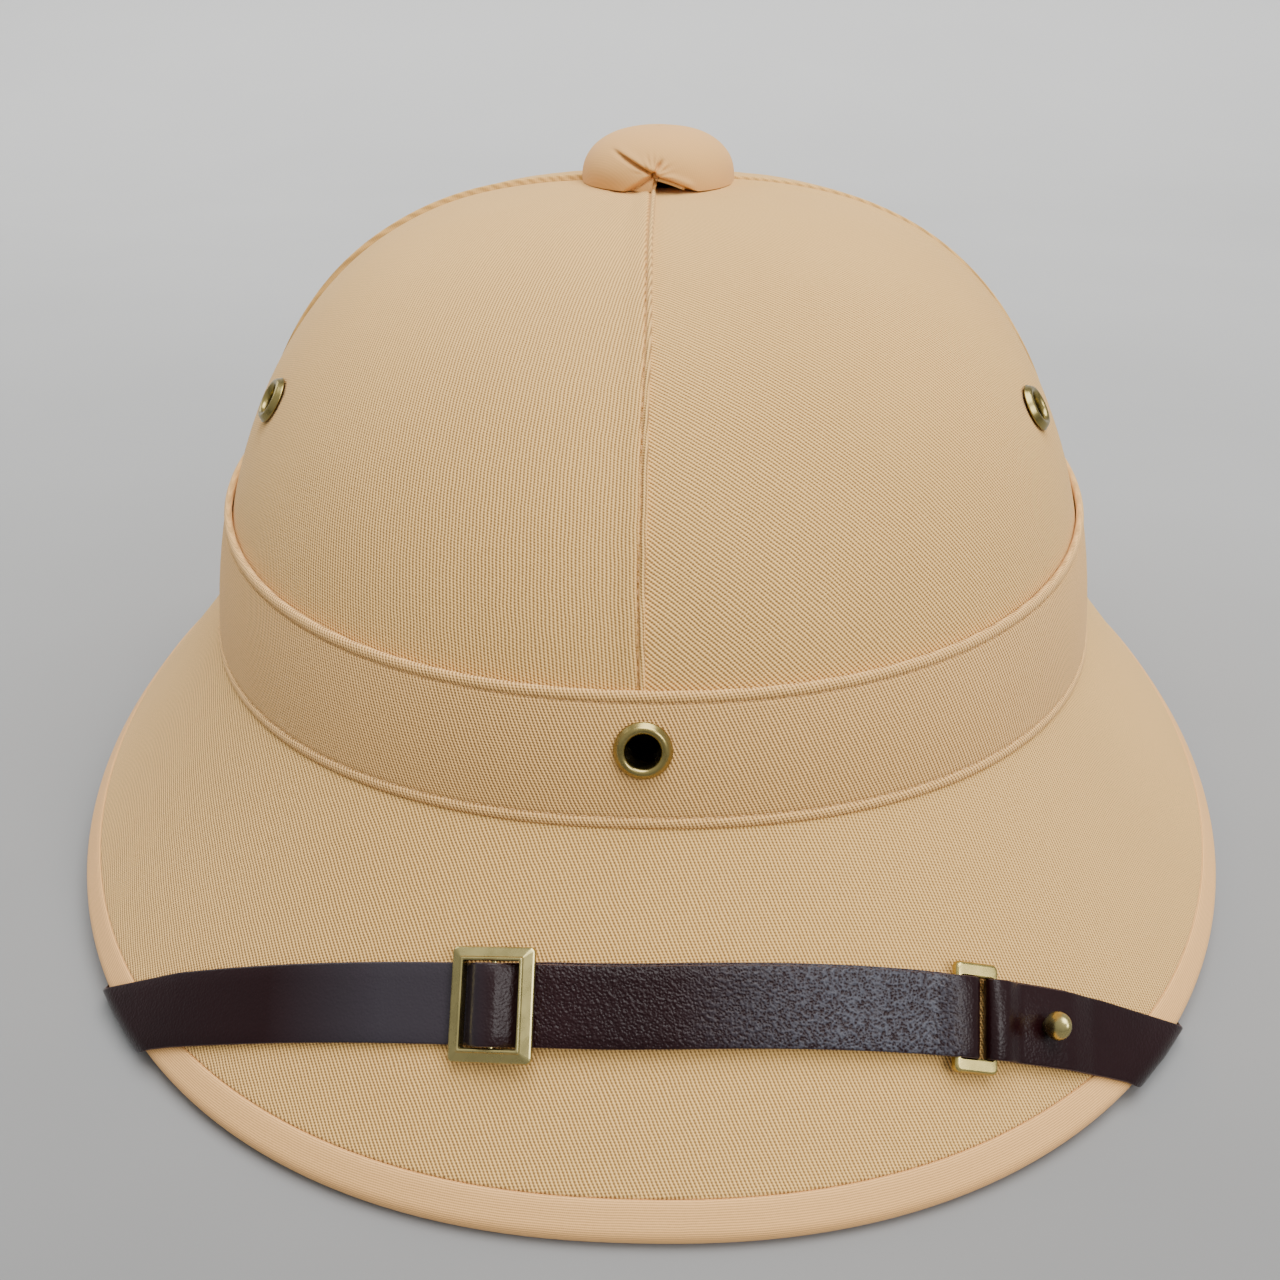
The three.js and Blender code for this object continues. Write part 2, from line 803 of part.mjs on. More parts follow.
function stationsUnderBrim(anchor, from) {
  const seat = anchorSeat(anchor.angle);
  const start = middleOf(from);
  const startAcross = from[0][2].clone().sub(from[0][0]);
  const straight = seat.point.clone().sub(start).normalize();
  startAcross.addScaledVector(straight, -startAcross.dot(straight)).normalize();
  const inward = seat.out.clone().negate();
  const level = straight.clone().addScaledVector(inward, -straight.dot(inward));
  level.addScaledVector(seat.up, -level.dot(seat.up)).normalize();
  const tangent = seat.up.clone().multiplyScalar(Math.cos(rad(anchorLean)));
  tangent.addScaledVector(level, Math.sin(rad(anchorLean)));
  const reach = start.distanceTo(seat.point);
  const end = seat.point.clone().addScaledVector(tangent, strapTail);
  const below = seat.point.clone().addScaledVector(tangent, -strapTail);
  const curve = new THREE.CubicBezierCurve3(
    start,
    start.clone().addScaledVector(straight, reach * bendStart),
    below.clone().addScaledVector(tangent, -reach * bendEnd).addScaledVector(inward, reach * bendInward),
    below,
  );
  const stations = [];
  const stationAt = (point, forward, share) => {
    const startNormal = new THREE.Vector3().crossVectors(startAcross, straight).normalize();
    if (startNormal.z > 0) startNormal.negate();
    const normal = startNormal.lerp(inward, share);
    normal.addScaledVector(forward, -normal.dot(forward)).normalize();
    const across = new THREE.Vector3().crossVectors(normal, forward);
    if (across.dot(startAcross) < 0) across.negate();
    return [-strapWall / 2, strapWall / 2].map((o) => fibres.map((v) => point.clone()
      .addScaledVector(normal, o)
      .addScaledVector(across, v)));
  };
  for (let i = 1; i <= underSteps; i += 1) {
    const share = i / underSteps;
    stations.push(stationAt(curve.getPointAt(share), curve.getTangentAt(share), share ** twistPower));
  }
  stations.push(stationAt(end, tangent, 1));
  return stations;
}

// A strap from its stations, each with its lower and its upper points
function strapSolid(stations) {
  return loft(stations.map(([low, high]) => [...low, ...[...high].reverse()]), false);
}

function arcRoute(centre, reach, from, to) {
  const points = [];
  for (let i = 0; i <= foldSteps; i += 1) {
    const turn = rad(THREE.MathUtils.lerp(from, to, i / foldSteps));
    points.push({ a: centre.a + reach.a * Math.cos(turn), o: centre.o + reach.o * Math.sin(turn) });
  }
  return points;
}

// The ring's bars and the buckle's middle bar, each with the strap's bend round it.
// The long strap's fold on the ring is a loose one.
const ringLevel = layerOne + strapWall / 2 + gap + ringWall / 2;
const ringBend = { a: (ringBar + strapWall) / 2 + gap, o: ringLevel - layerOne };
const ringBarOut = (ringLength - ringBar) / 2;
const barLevel = layerOne + strapWall / 2 + gap + buckleBarWall / 2;
const barBend = { a: (buckleBarLength + strapWall) / 2 + gap, o: barLevel - layerOne };
const humpLevel = barLevel + barBend.o + strapWall + gap;
const windowHalf = buckleLength / 2 - buckleSideBar;

function longStrapRoute() {
  const b = strapBuckleAt;
  const r = strapRingAt - ringBarOut;
  const pastBuckle = b + buckleLength / 2 + buckleFoot;
  return [
    { a: -(strapHalf - strapWidth), o: layerOne },
    { a: b - buckleLength / 2 - buckleFoot, o: layerOne },
    { a: b - windowHalf + windowFoot, o: layerOne },
    { a: b - humpHalf, o: humpLevel },
    { a: b + humpHalf, o: humpLevel },
    { a: b + windowHalf - windowFoot, o: layerTwo },
    { a: pastBuckle, o: layerTwo },
    { a: r - ringFoot, o: layerTwo },
    { a: r - ringShoulder, o: ringLevel + ringBend.o },
    ...arcRoute({ a: r, o: ringLevel }, { a: looseFold, o: ringBend.o }, 90, -90),
    { a: r - ringReturn, o: layerOne },
    { a: pastBuckle, o: layerOne },
    ...arcRoute({ a: b, o: barLevel }, barBend, 270, 90),
    { a: b + foldEnd, o: barLevel + barBend.o },
  ];
}

function shortStrapRoute() {
  const r = strapRingAt + ringBarOut;
  const tail = strapStudAt + strapTail;
  return [
    { a: strapHalf - strapWidth, o: layerOne },
    { a: tail + tailRamp, o: layerOne },
    { a: tail, o: layerTwo },
    { a: r + ringFoot, o: layerTwo },
    { a: r + ringShoulder, o: ringLevel + ringBend.o },
    ...arcRoute({ a: r, o: ringLevel }, ringBend, 90, 270),
    { a: r + ringReturn, o: layerOne },
    { a: tail - foldEnd, o: layerOne },
  ];
}

function brimSeat(along, height) {
  const frame = strapFrame(along);
  return { point: frame.point.clone().addScaledVector(frame.normal, halfEdge + height), out: frame.normal };
}

function anchorSeat(angle) {
  return wallSeat(angle, anchorHeight(angle), -shellWall / 2 - anchorStandoff - strapWall / 2);
}

// The hidden stretch has the face towards the helmet first. A route that runs to
// the left has its upper face first, so there the hidden stretch is turned over.
function buildStrap(name, anchor, route, holes) {
  const hidden = stationsRoundRim(anchor).reverse();
  const turned = anchor.sign > 0 ? hidden.map(([inner, outer]) => [outer, inner]) : hidden;
  const body = strapSolid(turned.concat(stationsOnBrim(route)));
  const anchorHole = hole(anchorSeat(anchor.angle), anchorShankRadius + gap);
  addPiece(name, cut(body, [anchorHole, ...holes]), leather);
}

function buildStraps() {
  const studHole = hole(brimSeat(strapStudAt, layerTwo), studShankRadius + gap);
  buildStrap('strap_long', anchors[0], longStrapRoute(), []);
  buildStrap('strap_short', anchors[1], shortStrapRoute(), [studHole]);
}

// A flat frame round a window, its edges bevelled
function flatFrame(length, width, wall, window) {
  const half = { a: length / 2 - metalBevel, v: width / 2 - metalBevel };
  const box = (a0, a1, v0, v1) => [
    new THREE.Vector2(a0, v0),
    new THREE.Vector2(a1, v0),
    new THREE.Vector2(a1, v1),
    new THREE.Vector2(a0, v1),
  ];
  const shape = new THREE.Shape(box(-half.a, half.a, -half.v, half.v));
  const wide = window.side + metalBevel;
  const hollow = box(window.from - metalBevel, window.to + metalBevel, -wide, wide);
  shape.holes.push(new THREE.Path(hollow.reverse()));
  const geometry = new THREE.ExtrudeGeometry(shape, {
    depth: wall - 2 * metalBevel,
    bevelThickness: metalBevel,
    bevelSize: metalBevel,
    bevelSegments: 1,
  });
  return geometry.translate(0, 0, metalBevel - wall / 2);
}

// Lays a fitting in the strap's line
function layInStrap(geometry, along, height, tilt) {
  const frame = strapFrame(along);
  const basis = new THREE.Matrix4().makeBasis(frame.forward, frame.across, frame.normal);
  basis.setPosition(frame.point.clone().addScaledVector(frame.normal, halfEdge + height));
  return geometry.rotateY(-tilt).applyMatrix4(basis);
}

function buildBuckle() {
  const inside = strapWidth / 2 + gap;
  const window = { from: -windowHalf, to: windowHalf, side: inside };
  const frame = flatFrame(buckleLength, buckleWidth, buckleWall, window);
  const leftLevel = layerTwo - strapWall / 2 + buckleWall / 2;
  const rightLevel = leftLevel + strapWall + gap;
  const tilt = Math.atan2(rightLevel - leftLevel, buckleLength - buckleSideBar);
  const level = (leftLevel + rightLevel) / 2;
  layInStrap(frame, strapBuckleAt, level, tilt);
  const bar = new THREE.CylinderGeometry(buckleBarWall / 2, buckleBarWall / 2, 2 * inside + buckleEndBar, 8);
  bar.scale(buckleBarLength / buckleBarWall, 1, 1);
  layInStrap(bar, strapBuckleAt, barLevel, 0);
  addPiece('buckle', join([frame, bar]), brass);
}

function buildRing() {
  const inner = ringLength / 2 - ringBar;
  const window = { from: -inner, to: inner, side: strapWidth / 2 + gap };
  const frame = flatFrame(ringLength, ringWidth, ringWall, window);
  layInStrap(frame, strapRingAt, ringLevel, 0);
  addPiece('strap_ring', fromManifold(toManifold(frame)), brass);
}

function buildStud() {
  const foot = -(layerTwo - layerOne) - strapWall / 2;
  const neck = strapWall / 2 + gap;
  const ball = neck + studNeckHeight + Math.sqrt(studBallRadius ** 2 - studNeckRadius ** 2);
  const section = [
    new THREE.Vector2(0, foot),
    new THREE.Vector2(studShankRadius, foot),
    new THREE.Vector2(studShankRadius, neck),
    new THREE.Vector2(studNeckRadius, neck),
    new THREE.Vector2(studNeckRadius, neck + studNeckHeight),
  ];
  [-25, 0, 25, 50].forEach((degrees) => {
    const turn = rad(degrees);
    section.push(new THREE.Vector2(studBallRadius * Math.cos(turn), ball + studBallRadius * Math.sin(turn)));
  });
  section.push(new THREE.Vector2(0, ball + studBallRadius));
  const stud = new THREE.LatheGeometry(section, studSides);
  addPiece('stud', fromManifold(toManifold(turnTo(stud, brimSeat(strapStudAt, layerTwo)))), brass);
}

function buildAnchors() {
  anchors.forEach(({ side, angle }) => {
    const head = -strapWall / 2 - gap;
    const tip = strapWall / 2 + anchorStandoff + shellWall - gap;
    const section = [
      new THREE.Vector2(0, head - anchorHeadWall),
      new THREE.Vector2(anchorHeadRadius, head - anchorHeadWall),
      new THREE.Vector2(anchorHeadRadius, head),
      new THREE.Vector2(anchorShankRadius, head),
      new THREE.Vector2(anchorShankRadius, tip),
      new THREE.Vector2(0, tip),
    ];
    const post = new THREE.LatheGeometry(section, studSides);
    addPiece(`strap_anchor_${side}`, fromManifold(toManifold(turnTo(post, anchorSeat(angle)))), brass);
  });
}

buildShell();
buildGores();
buildBand();
buildBrimCover();
buildBinding();
buildButton();
buildEyelets();
buildStraps();
buildBuckle();
buildRing();
buildStud();
buildAnchors();

export default group;
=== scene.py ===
import math
from bisect import bisect_left
from functools import lru_cache

import bmesh
import bpy
from mathutils import Matrix, Vector, noise


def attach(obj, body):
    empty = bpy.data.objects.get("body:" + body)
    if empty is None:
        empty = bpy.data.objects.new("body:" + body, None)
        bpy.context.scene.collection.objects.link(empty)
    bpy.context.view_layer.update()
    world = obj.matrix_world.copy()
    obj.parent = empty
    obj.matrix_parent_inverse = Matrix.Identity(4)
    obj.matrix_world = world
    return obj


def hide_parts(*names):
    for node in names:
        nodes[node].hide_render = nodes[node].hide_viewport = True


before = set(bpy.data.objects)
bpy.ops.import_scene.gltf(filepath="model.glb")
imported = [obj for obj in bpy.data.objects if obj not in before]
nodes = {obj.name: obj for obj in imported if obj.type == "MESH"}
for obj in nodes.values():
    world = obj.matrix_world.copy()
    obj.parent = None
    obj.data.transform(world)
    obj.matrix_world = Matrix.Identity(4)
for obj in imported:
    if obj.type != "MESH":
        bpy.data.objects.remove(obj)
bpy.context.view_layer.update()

MM = 0.001
HALF_TURN = math.pi
FRONT = -HALF_TURN / 2
UP = Vector((0, 0, 1))

# The helmet's form, the same as the frame's
brim_half = {"side": 135 * MM, "front": 163.6 * MM, "back": 168.4 * MM}
brim_power = 2.22
side_lift = 6.5 * MM
side_lift_power = 3
brim_dish = 1 * MM
crown_forward = 2.4 * MM
crown_half = {"side": 98.5 * MM, "front": 115 * MM, "back": 115 * MM}
crown_power = 2.2
crown_base_front = 51.5 * MM
crown_base_side = 49.3 * MM
crown_top = 138.7 * MM
front_dome = {"height": 2.2, "width": 2.2, "taper": 0.128}
side_dome = {"height": 2.29, "width": 2.95, "taper": 0.082}
vent_radius = 8 * MM
shell_wall = 2.4 * MM
cloth_wall = 1 * MM
gap = 0.3 * MM
cloth_inside = shell_wall / 2 + gap
cloth_outside = cloth_inside + cloth_wall
half_edge = 2.5 * MM
rest_flat_angle = math.radians(20)
band_top_front = 72.6 * MM
band_top_side = 76.7 * MM


def mix(a, b, share):
    return a + (b - a) * share


def smooth(low, high, value):
    share = min(max((value - low) / (high - low), 0), 1)
    return share * share * (3 - 2 * share)


def outline_radius(angle, half, power):
    across = abs(math.cos(angle)) / half["side"]
    along = abs(math.sin(angle)) / half["front" if math.sin(angle) < 0 else "back"]
    return (across**power + along**power) ** (-1 / power)


@lru_cache(maxsize=None)
def rim_end(angle):
    lift = side_lift * abs(math.cos(angle)) ** side_lift_power
    r = outline_radius(angle, brim_half, brim_power) - half_edge
    return Vector((r, half_edge * math.cos(rest_flat_angle) + lift))


@lru_cache(maxsize=None)
def crown_base(angle):
    z = mix(crown_base_front, crown_base_side, math.cos(angle) ** 2)
    return Vector((outline_radius(angle, crown_half, crown_power), z))


def dome_point(angle, turn):
    share = math.cos(angle) ** 2
    height, width, taper = (mix(front_dome[k], side_dome[k], share) for k in front_dome)
    base = crown_base(angle)
    up = math.sin(turn) ** (2 / height)
    out = max(math.cos(turn), 0) ** (2 / width) * (1 - taper * up)
    top = crown_top - cloth_outside
    return Vector((base.x * out, base.y + (top - base.y) * up))


# The dome's upright line at one angle: points, and their distances from the base
@lru_cache(maxsize=None)
def dome_line(angle):
    steps = 90
    points = [dome_point(angle, (k / steps) ** 1.3 * HALF_TURN / 2) for k in range(steps + 1)]
    along = [0.0]
    for a, b in zip(points, points[1:]):
        along.append(along[-1] + (b - a).length)
    return points, along


@lru_cache(maxsize=None)
def dome_length(angle, radius):
    points, along = dome_line(angle)
    for k in range(len(points) - 1, 0, -1):
        if points[k - 1].x >= radius:
            share = (points[k - 1].x - radius) / max(points[k - 1].x - points[k].x, 1e-9)
            return mix(along[k - 1], along[k], share)
    return 0


@lru_cache(maxsize=None)
def band_top_along(angle):
    points, along = dome_line(angle)
    z = mix(band_top_front, band_top_side, math.cos(angle) ** 2)
    k = next(k for k, p in enumerate(points) if p.y >= z)
    share = (z - points[k - 1].y) / (points[k].y - points[k - 1].y)
    return mix(along[k - 1], along[k], share)


def place(point, angle):
    return Vector((point.x * math.cos(angle), point.x * math.sin(angle) - crown_forward, point.y))


# A place on the crown's wall: how far up it lies from the wall's foot, and how far
# out from the middle of the wall. Below the foot the wall goes straight on.
def on_wall(angle, up, out):
    points, along = dome_line(angle)
    k = min(max(bisect_left(along, up), 1), len(along) - 1)
    step = (points[k] - points[k - 1]).normalized()
    before = (points[k - 1] - points[max(k - 2, 0)]).normalized() if k > 1 else step
    after = (points[min(k + 1, len(points) - 1)] - points[k]).normalized() if k < len(points) - 1 else step
    share = (up - along[k - 1]) / (along[k] - along[k - 1])
    way = mix(before + step, step + after, min(max(share, 0), 1)).normalized()
    spot = mix(points[k - 1], points[k], share)
    return spot + Vector((way.y, -way.x)) * out


# A place on the brim: its share of the way from the edge to the crown, and how far
# above the brim's middle
def on_brim(angle, share, out):
    rim, base = rim_end(angle), crown_base(angle)
    way = (base - rim).normalized()
    spot = mix(rim, base, share)
    spot.y -= brim_dish * 4 * share * (1 - share)
    return spot + Vector((way.y, -way.x)) * out


def brim_length(angle):
    return (crown_base(angle) - rim_end(angle)).length


# How high on the wall's line the brim's cloth lies, at a distance out of the wall
def foot_up(angle, out):
    rim, base = rim_end(angle), crown_base(angle)
    brim_way = (base - rim).normalized()
    brim_out = Vector((brim_way.y, -brim_way.x))
    points, _ = dome_line(angle)
    wall_way = (points[1] - points[0]).normalized()
    wall_out = Vector((wall_way.y, -wall_way.x))
    return (cloth_outside - out * wall_out.dot(brim_out)) / wall_way.dot(brim_out)


# Pieces

def mesh_of(bm, name):
    mesh = bpy.data.meshes.new(name)
    bm.to_mesh(mesh)
    bm.free()
    return mesh


def add_object(name, data):
    thing = bpy.data.objects.new(name, data)
    bpy.context.scene.collection.objects.link(thing)
    return thing


def finish_piece(name, bm, materials, *replaced, slot=None, shade=True):
    mesh = mesh_of(bm, name)
    for material in materials:
        mesh.materials.append(material)
    for face in mesh.polygons:
        face.use_smooth = shade
    piece = add_object(name, mesh)
    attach(piece, "root")
    if replaced:
        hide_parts(*replaced)
    return piece


# A flat grid whose points are laid one by one: lay(i, j) gives a point's place, and
# flat(i, j) its place on the flat cloth. A ring's last column meets its first.
def laid_grid(columns, rows, lay, flat, ring=False, tube=False):
    bm = bmesh.new()
    bmesh.ops.create_grid(bm, x_segments=columns, y_segments=rows, size=0.5)
    sheet_map = bm.loops.layers.uv.new("cloth")
    spots = {v: (round((v.co.x + 0.5) * columns), round((v.co.y + 0.5) * rows)) for v in bm.verts}
    for face in bm.faces:
        for loop in face.loops:
            loop[sheet_map].uv = flat(*spots[loop.vert])
    for v, (i, j) in spots.items():
        v.co = lay(i % columns if ring else i, j % rows if tube else j)
    if ring or tube:
        bmesh.ops.remove_doubles(bm, verts=bm.verts, dist=1e-7)
    return bm


def face_outward(bm):
    bmesh.ops.recalc_face_normals(bm, faces=bm.faces)
    if bm.calc_volume(signed=True) < 0:
        bmesh.ops.reverse_faces(bm, faces=bm.faces)
    return bm


def face_up(bm):
    if sum(face.normal.z for face in bm.faces) < 0:
        bmesh.ops.reverse_faces(bm, faces=bm.faces)


def add_thickness(piece, wall):
    solid = piece.modifiers.new("wall", "SOLIDIFY")
    solid.thickness = wall
    solid.offset = -1


# Materials

# A new material, its nodes, its shader, and the place on the body
def new_material(name):
    material = bpy.data.materials.new(name)
    material.use_nodes = True
    tree = material.node_tree
    body = add(tree, "ShaderNodeTexCoord").outputs["Object"]
    return material, tree, tree.nodes["Principled BSDF"], body


def add(tree, kind, links=None, **settings):
    node = tree.nodes.new(kind)
    for key, value in settings.items():
        setattr(node, key, value)
    for key, value in (links or {}).items():
        if hasattr(value, "is_output"):
            tree.links.new(value, node.inputs[key])
        else:
            node.inputs[key].default_value = value
    return node


def sums(tree, operation, a, b=None, clamp=False):
    links = {0: a} if b is None else {0: a, 1: b}
    return add(tree, "ShaderNodeMath", links, operation=operation, use_clamp=clamp).outputs[0]


def plus(tree, a, b, clamp=False):
    return sums(tree, "ADD", a, b, clamp)


def times(tree, a, b, clamp=False):
    return sums(tree, "MULTIPLY", a, b, clamp)


def axis_of(tree, place, axis):
    return add(tree, "ShaderNodeSeparateXYZ", {0: place}).outputs[axis]


# Goes from one value to another while the input passes from low to high
def fade(tree, value, low, high, start=0.0, end=1.0):
    return add(tree, "ShaderNodeMapRange", {0: value, 1: low, 2: high, 3: start, 4: end}).outputs[0]


def clouds(tree, place, scale, detail):
    links = {"Vector": place, "Scale": scale, "Detail": detail}
    return add(tree, "ShaderNodeTexNoise", links).outputs["Fac"]


def blend_colour(tree, share, low, high):
    low, high = (tint if hasattr(tint, "is_output") else (*tint, 1) for tint in (low, high))
    return add(tree, "ShaderNodeMix", {0: share, 6: low, 7: high}, data_type="RGBA").outputs[2]


# Gives a shader its colour, its relief and its constant values
def dress_shader(tree, shader, colour, height, depth, constants):
    tree.links.new(colour, shader.inputs["Base Color"])
    bump = add(tree, "ShaderNodeBump", {"Height": height, "Distance": depth, "Strength": 1.0})
    tree.links.new(bump.outputs[0], shader.inputs["Normal"])
    for socket, value in constants.items():
        shader.inputs[socket].default_value = value


# Twill: slanting ribs a pitch apart, crossed by finer yarns, on the flat cloth
def build_twill():
    tree = bpy.data.node_groups.new("twill weave", "ShaderNodeTree")
    for label, kind in (("Flat", "Vector"), ("Turn", "Float"), ("Pitch", "Float")):
        tree.interface.new_socket(name=label, in_out="INPUT", socket_type="NodeSocket" + kind)
    tree.interface.new_socket(name="Height", in_out="OUTPUT", socket_type="NodeSocketFloat")
    given, out = tree.nodes.new("NodeGroupInput"), tree.nodes.new("NodeGroupOutput")
    scaled = {0: given.outputs["Flat"], 1: (1 / MM, 1 / MM, 1 / MM)}
    in_mm = add(tree, "ShaderNodeVectorMath", scaled, operation="MULTIPLY").outputs[0]
    swing = {"Vector": in_mm, "Angle": given.outputs["Turn"]}
    turned_cloth = add(tree, "ShaderNodeVectorRotate", swing, rotation_type="Z_AXIS").outputs[0]
    across = sums(tree, "DIVIDE", axis_of(tree, turned_cloth, 0), given.outputs["Pitch"])
    across = plus(tree, across, times(tree, clouds(tree, in_mm, 0.16, 2.0), 0.8))
    rib = half_wave(tree, across)
    fine_pitch = times(tree, given.outputs["Pitch"], 0.8)
    lengthwise = sums(tree, "DIVIDE", axis_of(tree, turned_cloth, 1), fine_pitch)
    yarn = half_wave(tree, plus(tree, lengthwise, times(tree, across, 0.5)))
    height = plus(tree, times(tree, rib, 0.62), times(tree, yarn, 0.26))
    height = plus(tree, height, times(tree, clouds(tree, in_mm, 1.6, 2.0), 0.24))
    tree.links.new(height, out.inputs["Height"])
    return tree


# A wave from 0 to 1 and back for each whole step of the value
def half_wave(tree, value):
    wave = sums(tree, "SINE", times(tree, value, 2 * math.pi))
    return plus(tree, times(tree, wave, 0.5), 0.5)


twill = build_twill()

# The weave shows most at the front and is rubbed smooth farther back
weave_fades = (-85 * MM, -30 * MM)
weave_left = 0.3
weave_contrast = 2.3
mean_shade = 0.58


def cloth_material(name, light, dark, turn, pitch=0.63, relief=0.21, contrast=1.0):
    material, tree, shader, body = new_material(name)
    flat = add(tree, "ShaderNodeUVMap", uv_map="cloth").outputs[0]
    given = {"Flat": flat, "Turn": math.radians(turn), "Pitch": pitch}
    weave = add(tree, "ShaderNodeGroup", given, node_tree=twill).outputs["Height"]
    front = fade(tree, axis_of(tree, body, 1), *weave_fades, 1.0, weave_left)
    lively = times(tree, plus(tree, weave, -0.5), weave_contrast)
    shade = times(tree, lively, times(tree, front, contrast))
    shade = plus(tree, shade, times(tree, plus(tree, clouds(tree, body, 14.0, 3.0), -0.5), 0.3))
    tint = blend_colour(tree, plus(tree, shade, mean_shade, clamp=True), dark, light)
    constants = {"Roughness": 0.9, "Sheen Weight": 0.1, "Sheen Roughness": 0.5, "Specular IOR Level": 0.2}
    dress_shader(tree, shader, tint, times(tree, weave, front), relief * MM, constants)
    return material


crown_light, crown_dark = (0.86, 0.525, 0.175), (0.29, 0.145, 0.038)
left_gore_cloth = cloth_material("crown twill, left", crown_light, crown_dark, -24)
right_gore_cloth = cloth_material("crown twill, right", crown_light, crown_dark, 152)
cover_cloth = cloth_material("brim twill", crown_light, crown_dark, -25)
band_cloth = cloth_material("band twill", (0.94, 0.56, 0.2), (0.29, 0.145, 0.04), -25)
binding_cloth = cloth_material("binding cotton", (0.88, 0.49, 0.18), (0.42, 0.22, 0.07), 90,
                               pitch=0.4, relief=0.04, contrast=0.5)
button_cloth = cloth_material("button twill", (0.87, 0.49, 0.17), (0.42, 0.21, 0.06), -40,
                              relief=0.03, contrast=0.2)
thread = cloth_material("sewing thread", (0.62, 0.37, 0.15), (0.3, 0.16, 0.06), 30, pitch=0.4)

# Leather: the grain shows most on the stretch between the buckle and the ring. A cool painted
# highlight is mixed into its colour at the right of that stretch, and a weaker one left of the buckle.
painted_highlight_tint = (0.055, 0.055, 0.068)
grain_starts = (-21 * MM, -17 * MM)
grain_ends = (50 * MM, 56 * MM)
faint_grain = 0.25
painted_highlight_starts = (6 * MM, 34 * MM)
left_painted_highlight_starts = (-66 * MM, -44 * MM)
left_painted_highlight_ends = (-30 * MM, -24 * MM)
left_painted_highlight = 0.4


def leather_material(name, colour, light, grain, roughness):
    material, tree, shader, body = new_material(name)
    along = axis_of(tree, body, 0)
    strength = fade(tree, along, *grain_starts, faint_grain, 1.0)
    strength = times(tree, strength, fade(tree, along, *grain_ends, 1.0, faint_grain))
    cells = add(tree, "ShaderNodeTexVoronoi", {"Vector": body, "Scale": 2300.0}, feature="SMOOTH_F1")
    fine = clouds(tree, body, 1100.0, 4.0)
    pebbles = plus(tree, cells.outputs["Distance"], fine)
    height = times(tree, pebbles, strength)
    tint = plus(tree, times(tree, height, 0.12), times(tree, clouds(tree, body, 60.0, 2.0), 0.5))
    # Painted highlight: the pebbles' tops are tinted cool grey towards the ring, and more weakly left of the
    # buckle
    painted_highlight = times(tree, plus(tree, pebbles, -0.7), 2.4, clamp=True)
    painted_highlight = times(tree, painted_highlight, fade(tree, along, *grain_ends, 1.0, 0.0))
    painted_highlight = times(tree, painted_highlight, fade(tree, along, *painted_highlight_starts))
    left = fade(tree, along, *left_painted_highlight_ends, left_painted_highlight, 0.0)
    painted_highlight = plus(tree, painted_highlight, times(tree, fade(tree, along, *left_painted_highlight_starts), left))
    tones = blend_colour(tree, painted_highlight, blend_colour(tree, tint, colour, light), painted_highlight_tint)
    rough = plus(tree, times(tree, fine, 0.16), roughness - 0.08)
    tree.links.new(rough, shader.inputs["Roughness"])
    dress_shader(tree, shader, tones, height, grain * MM, {"Specular IOR Level": 0.2})
    return material


strap_face = leather_material("strap leather, grain side", (0.006, 0.0006, 0.001), (0.02, 0.0045, 0.006),
                              0.2, 0.32)
strap_edge = leather_material("strap leather, cut edge", (0.03, 0.014, 0.014), (0.22, 0.14, 0.115), 0.15, 0.8)


def brass_material(name, colour, roughness):
    material, tree, shader, body = new_material(name)
    worn = clouds(tree, body, 350.0, 4.0)
    tones = blend_colour(tree, worn, tuple(c * 0.7 for c in colour), colour)
    rough = plus(tree, times(tree, worn, 0.2), roughness - 0.1)
    tree.links.new(rough, shader.inputs["Roughness"])
    dress_shader(tree, shader, tones, worn, 0.009 * MM, {"Metallic": 1})
    return material


buckle_brass = brass_material("antique brass", (0.5, 0.42, 0.17), 0.27)
ring_brass = brass_material("ring brass", (0.53, 0.43, 0.15), 0.26)
eyelet_brass = brass_material("eyelet brass", (0.36, 0.285, 0.1), 0.27)


def fibre_material():
    material, tree, shader, body = new_material("pressed fibre")
    flecks = clouds(tree, body, 220.0, 6.0)
    tones = blend_colour(tree, flecks, (0.33, 0.22, 0.12), (0.58, 0.42, 0.25))
    dress_shader(tree, shader, tones, flecks, 0.3 * MM, {"Roughness": 0.9})
    return material


fibre = fibre_material()

# Turned pieces: a section spun about the way out of the wall

def seat_matrix(spot, out, up=UP):
    side = up.cross(out).normalized()
    return Matrix.Translation(spot) @ Matrix((side, out.cross(side), out)).transposed().to_4x4()


def turned(bm, section, seat, steps=40):
    ring = [bm.verts.new((r, 0, along)) for r, along in section]
    edges = [bm.edges.new(pair) for pair in zip(ring, ring[1:])]
    bmesh.ops.spin(bm, geom=ring + edges, cent=(0, 0, 0), axis=(0, 0, 1), angle=2 * HALF_TURN,
                   steps=steps, use_merge=True)
    bmesh.ops.remove_doubles(bm, verts=bm.verts, dist=1e-7)
    face_outward(bm)
    bm.transform(seat)


def wall_frame(angle, up, out):
    near = 0.01
    spot = place(on_wall(angle, up, out), angle)
    side = place(on_wall(angle + near, up, out), angle + near) - spot
    rise = place(on_wall(angle, up + 0.1 * MM, out), angle) - spot
    return spot, side.cross(rise).normalized(), rise.normalized()


band_seat = cloth_outside + gap
hole_radius = 3.9 * MM
cleared_radius = 6.5 * MM
eyelets = [
    ("grommet_front", FRONT, -9.2 * MM, band_seat + 1.2 * MM),
    ("grommet_left", math.radians(-151.5), 23.8 * MM, cloth_outside),
    ("grommet_right", math.radians(-28.5), 23.8 * MM, cloth_outside),
]


def eyelet_frame(angle, above, layer):
    z = mix(band_top_front, band_top_side, math.cos(angle) ** 2) + above
    return wall_frame(angle, wall_up_at(angle, z), layer)


def wall_up_at(angle, z):
    points, along = dome_line(angle)
    k = next(k for k, p in enumerate(points) if p.y >= z)
    return mix(along[k - 1], along[k], (z - points[k - 1].y) / (points[k].y - points[k - 1].y))


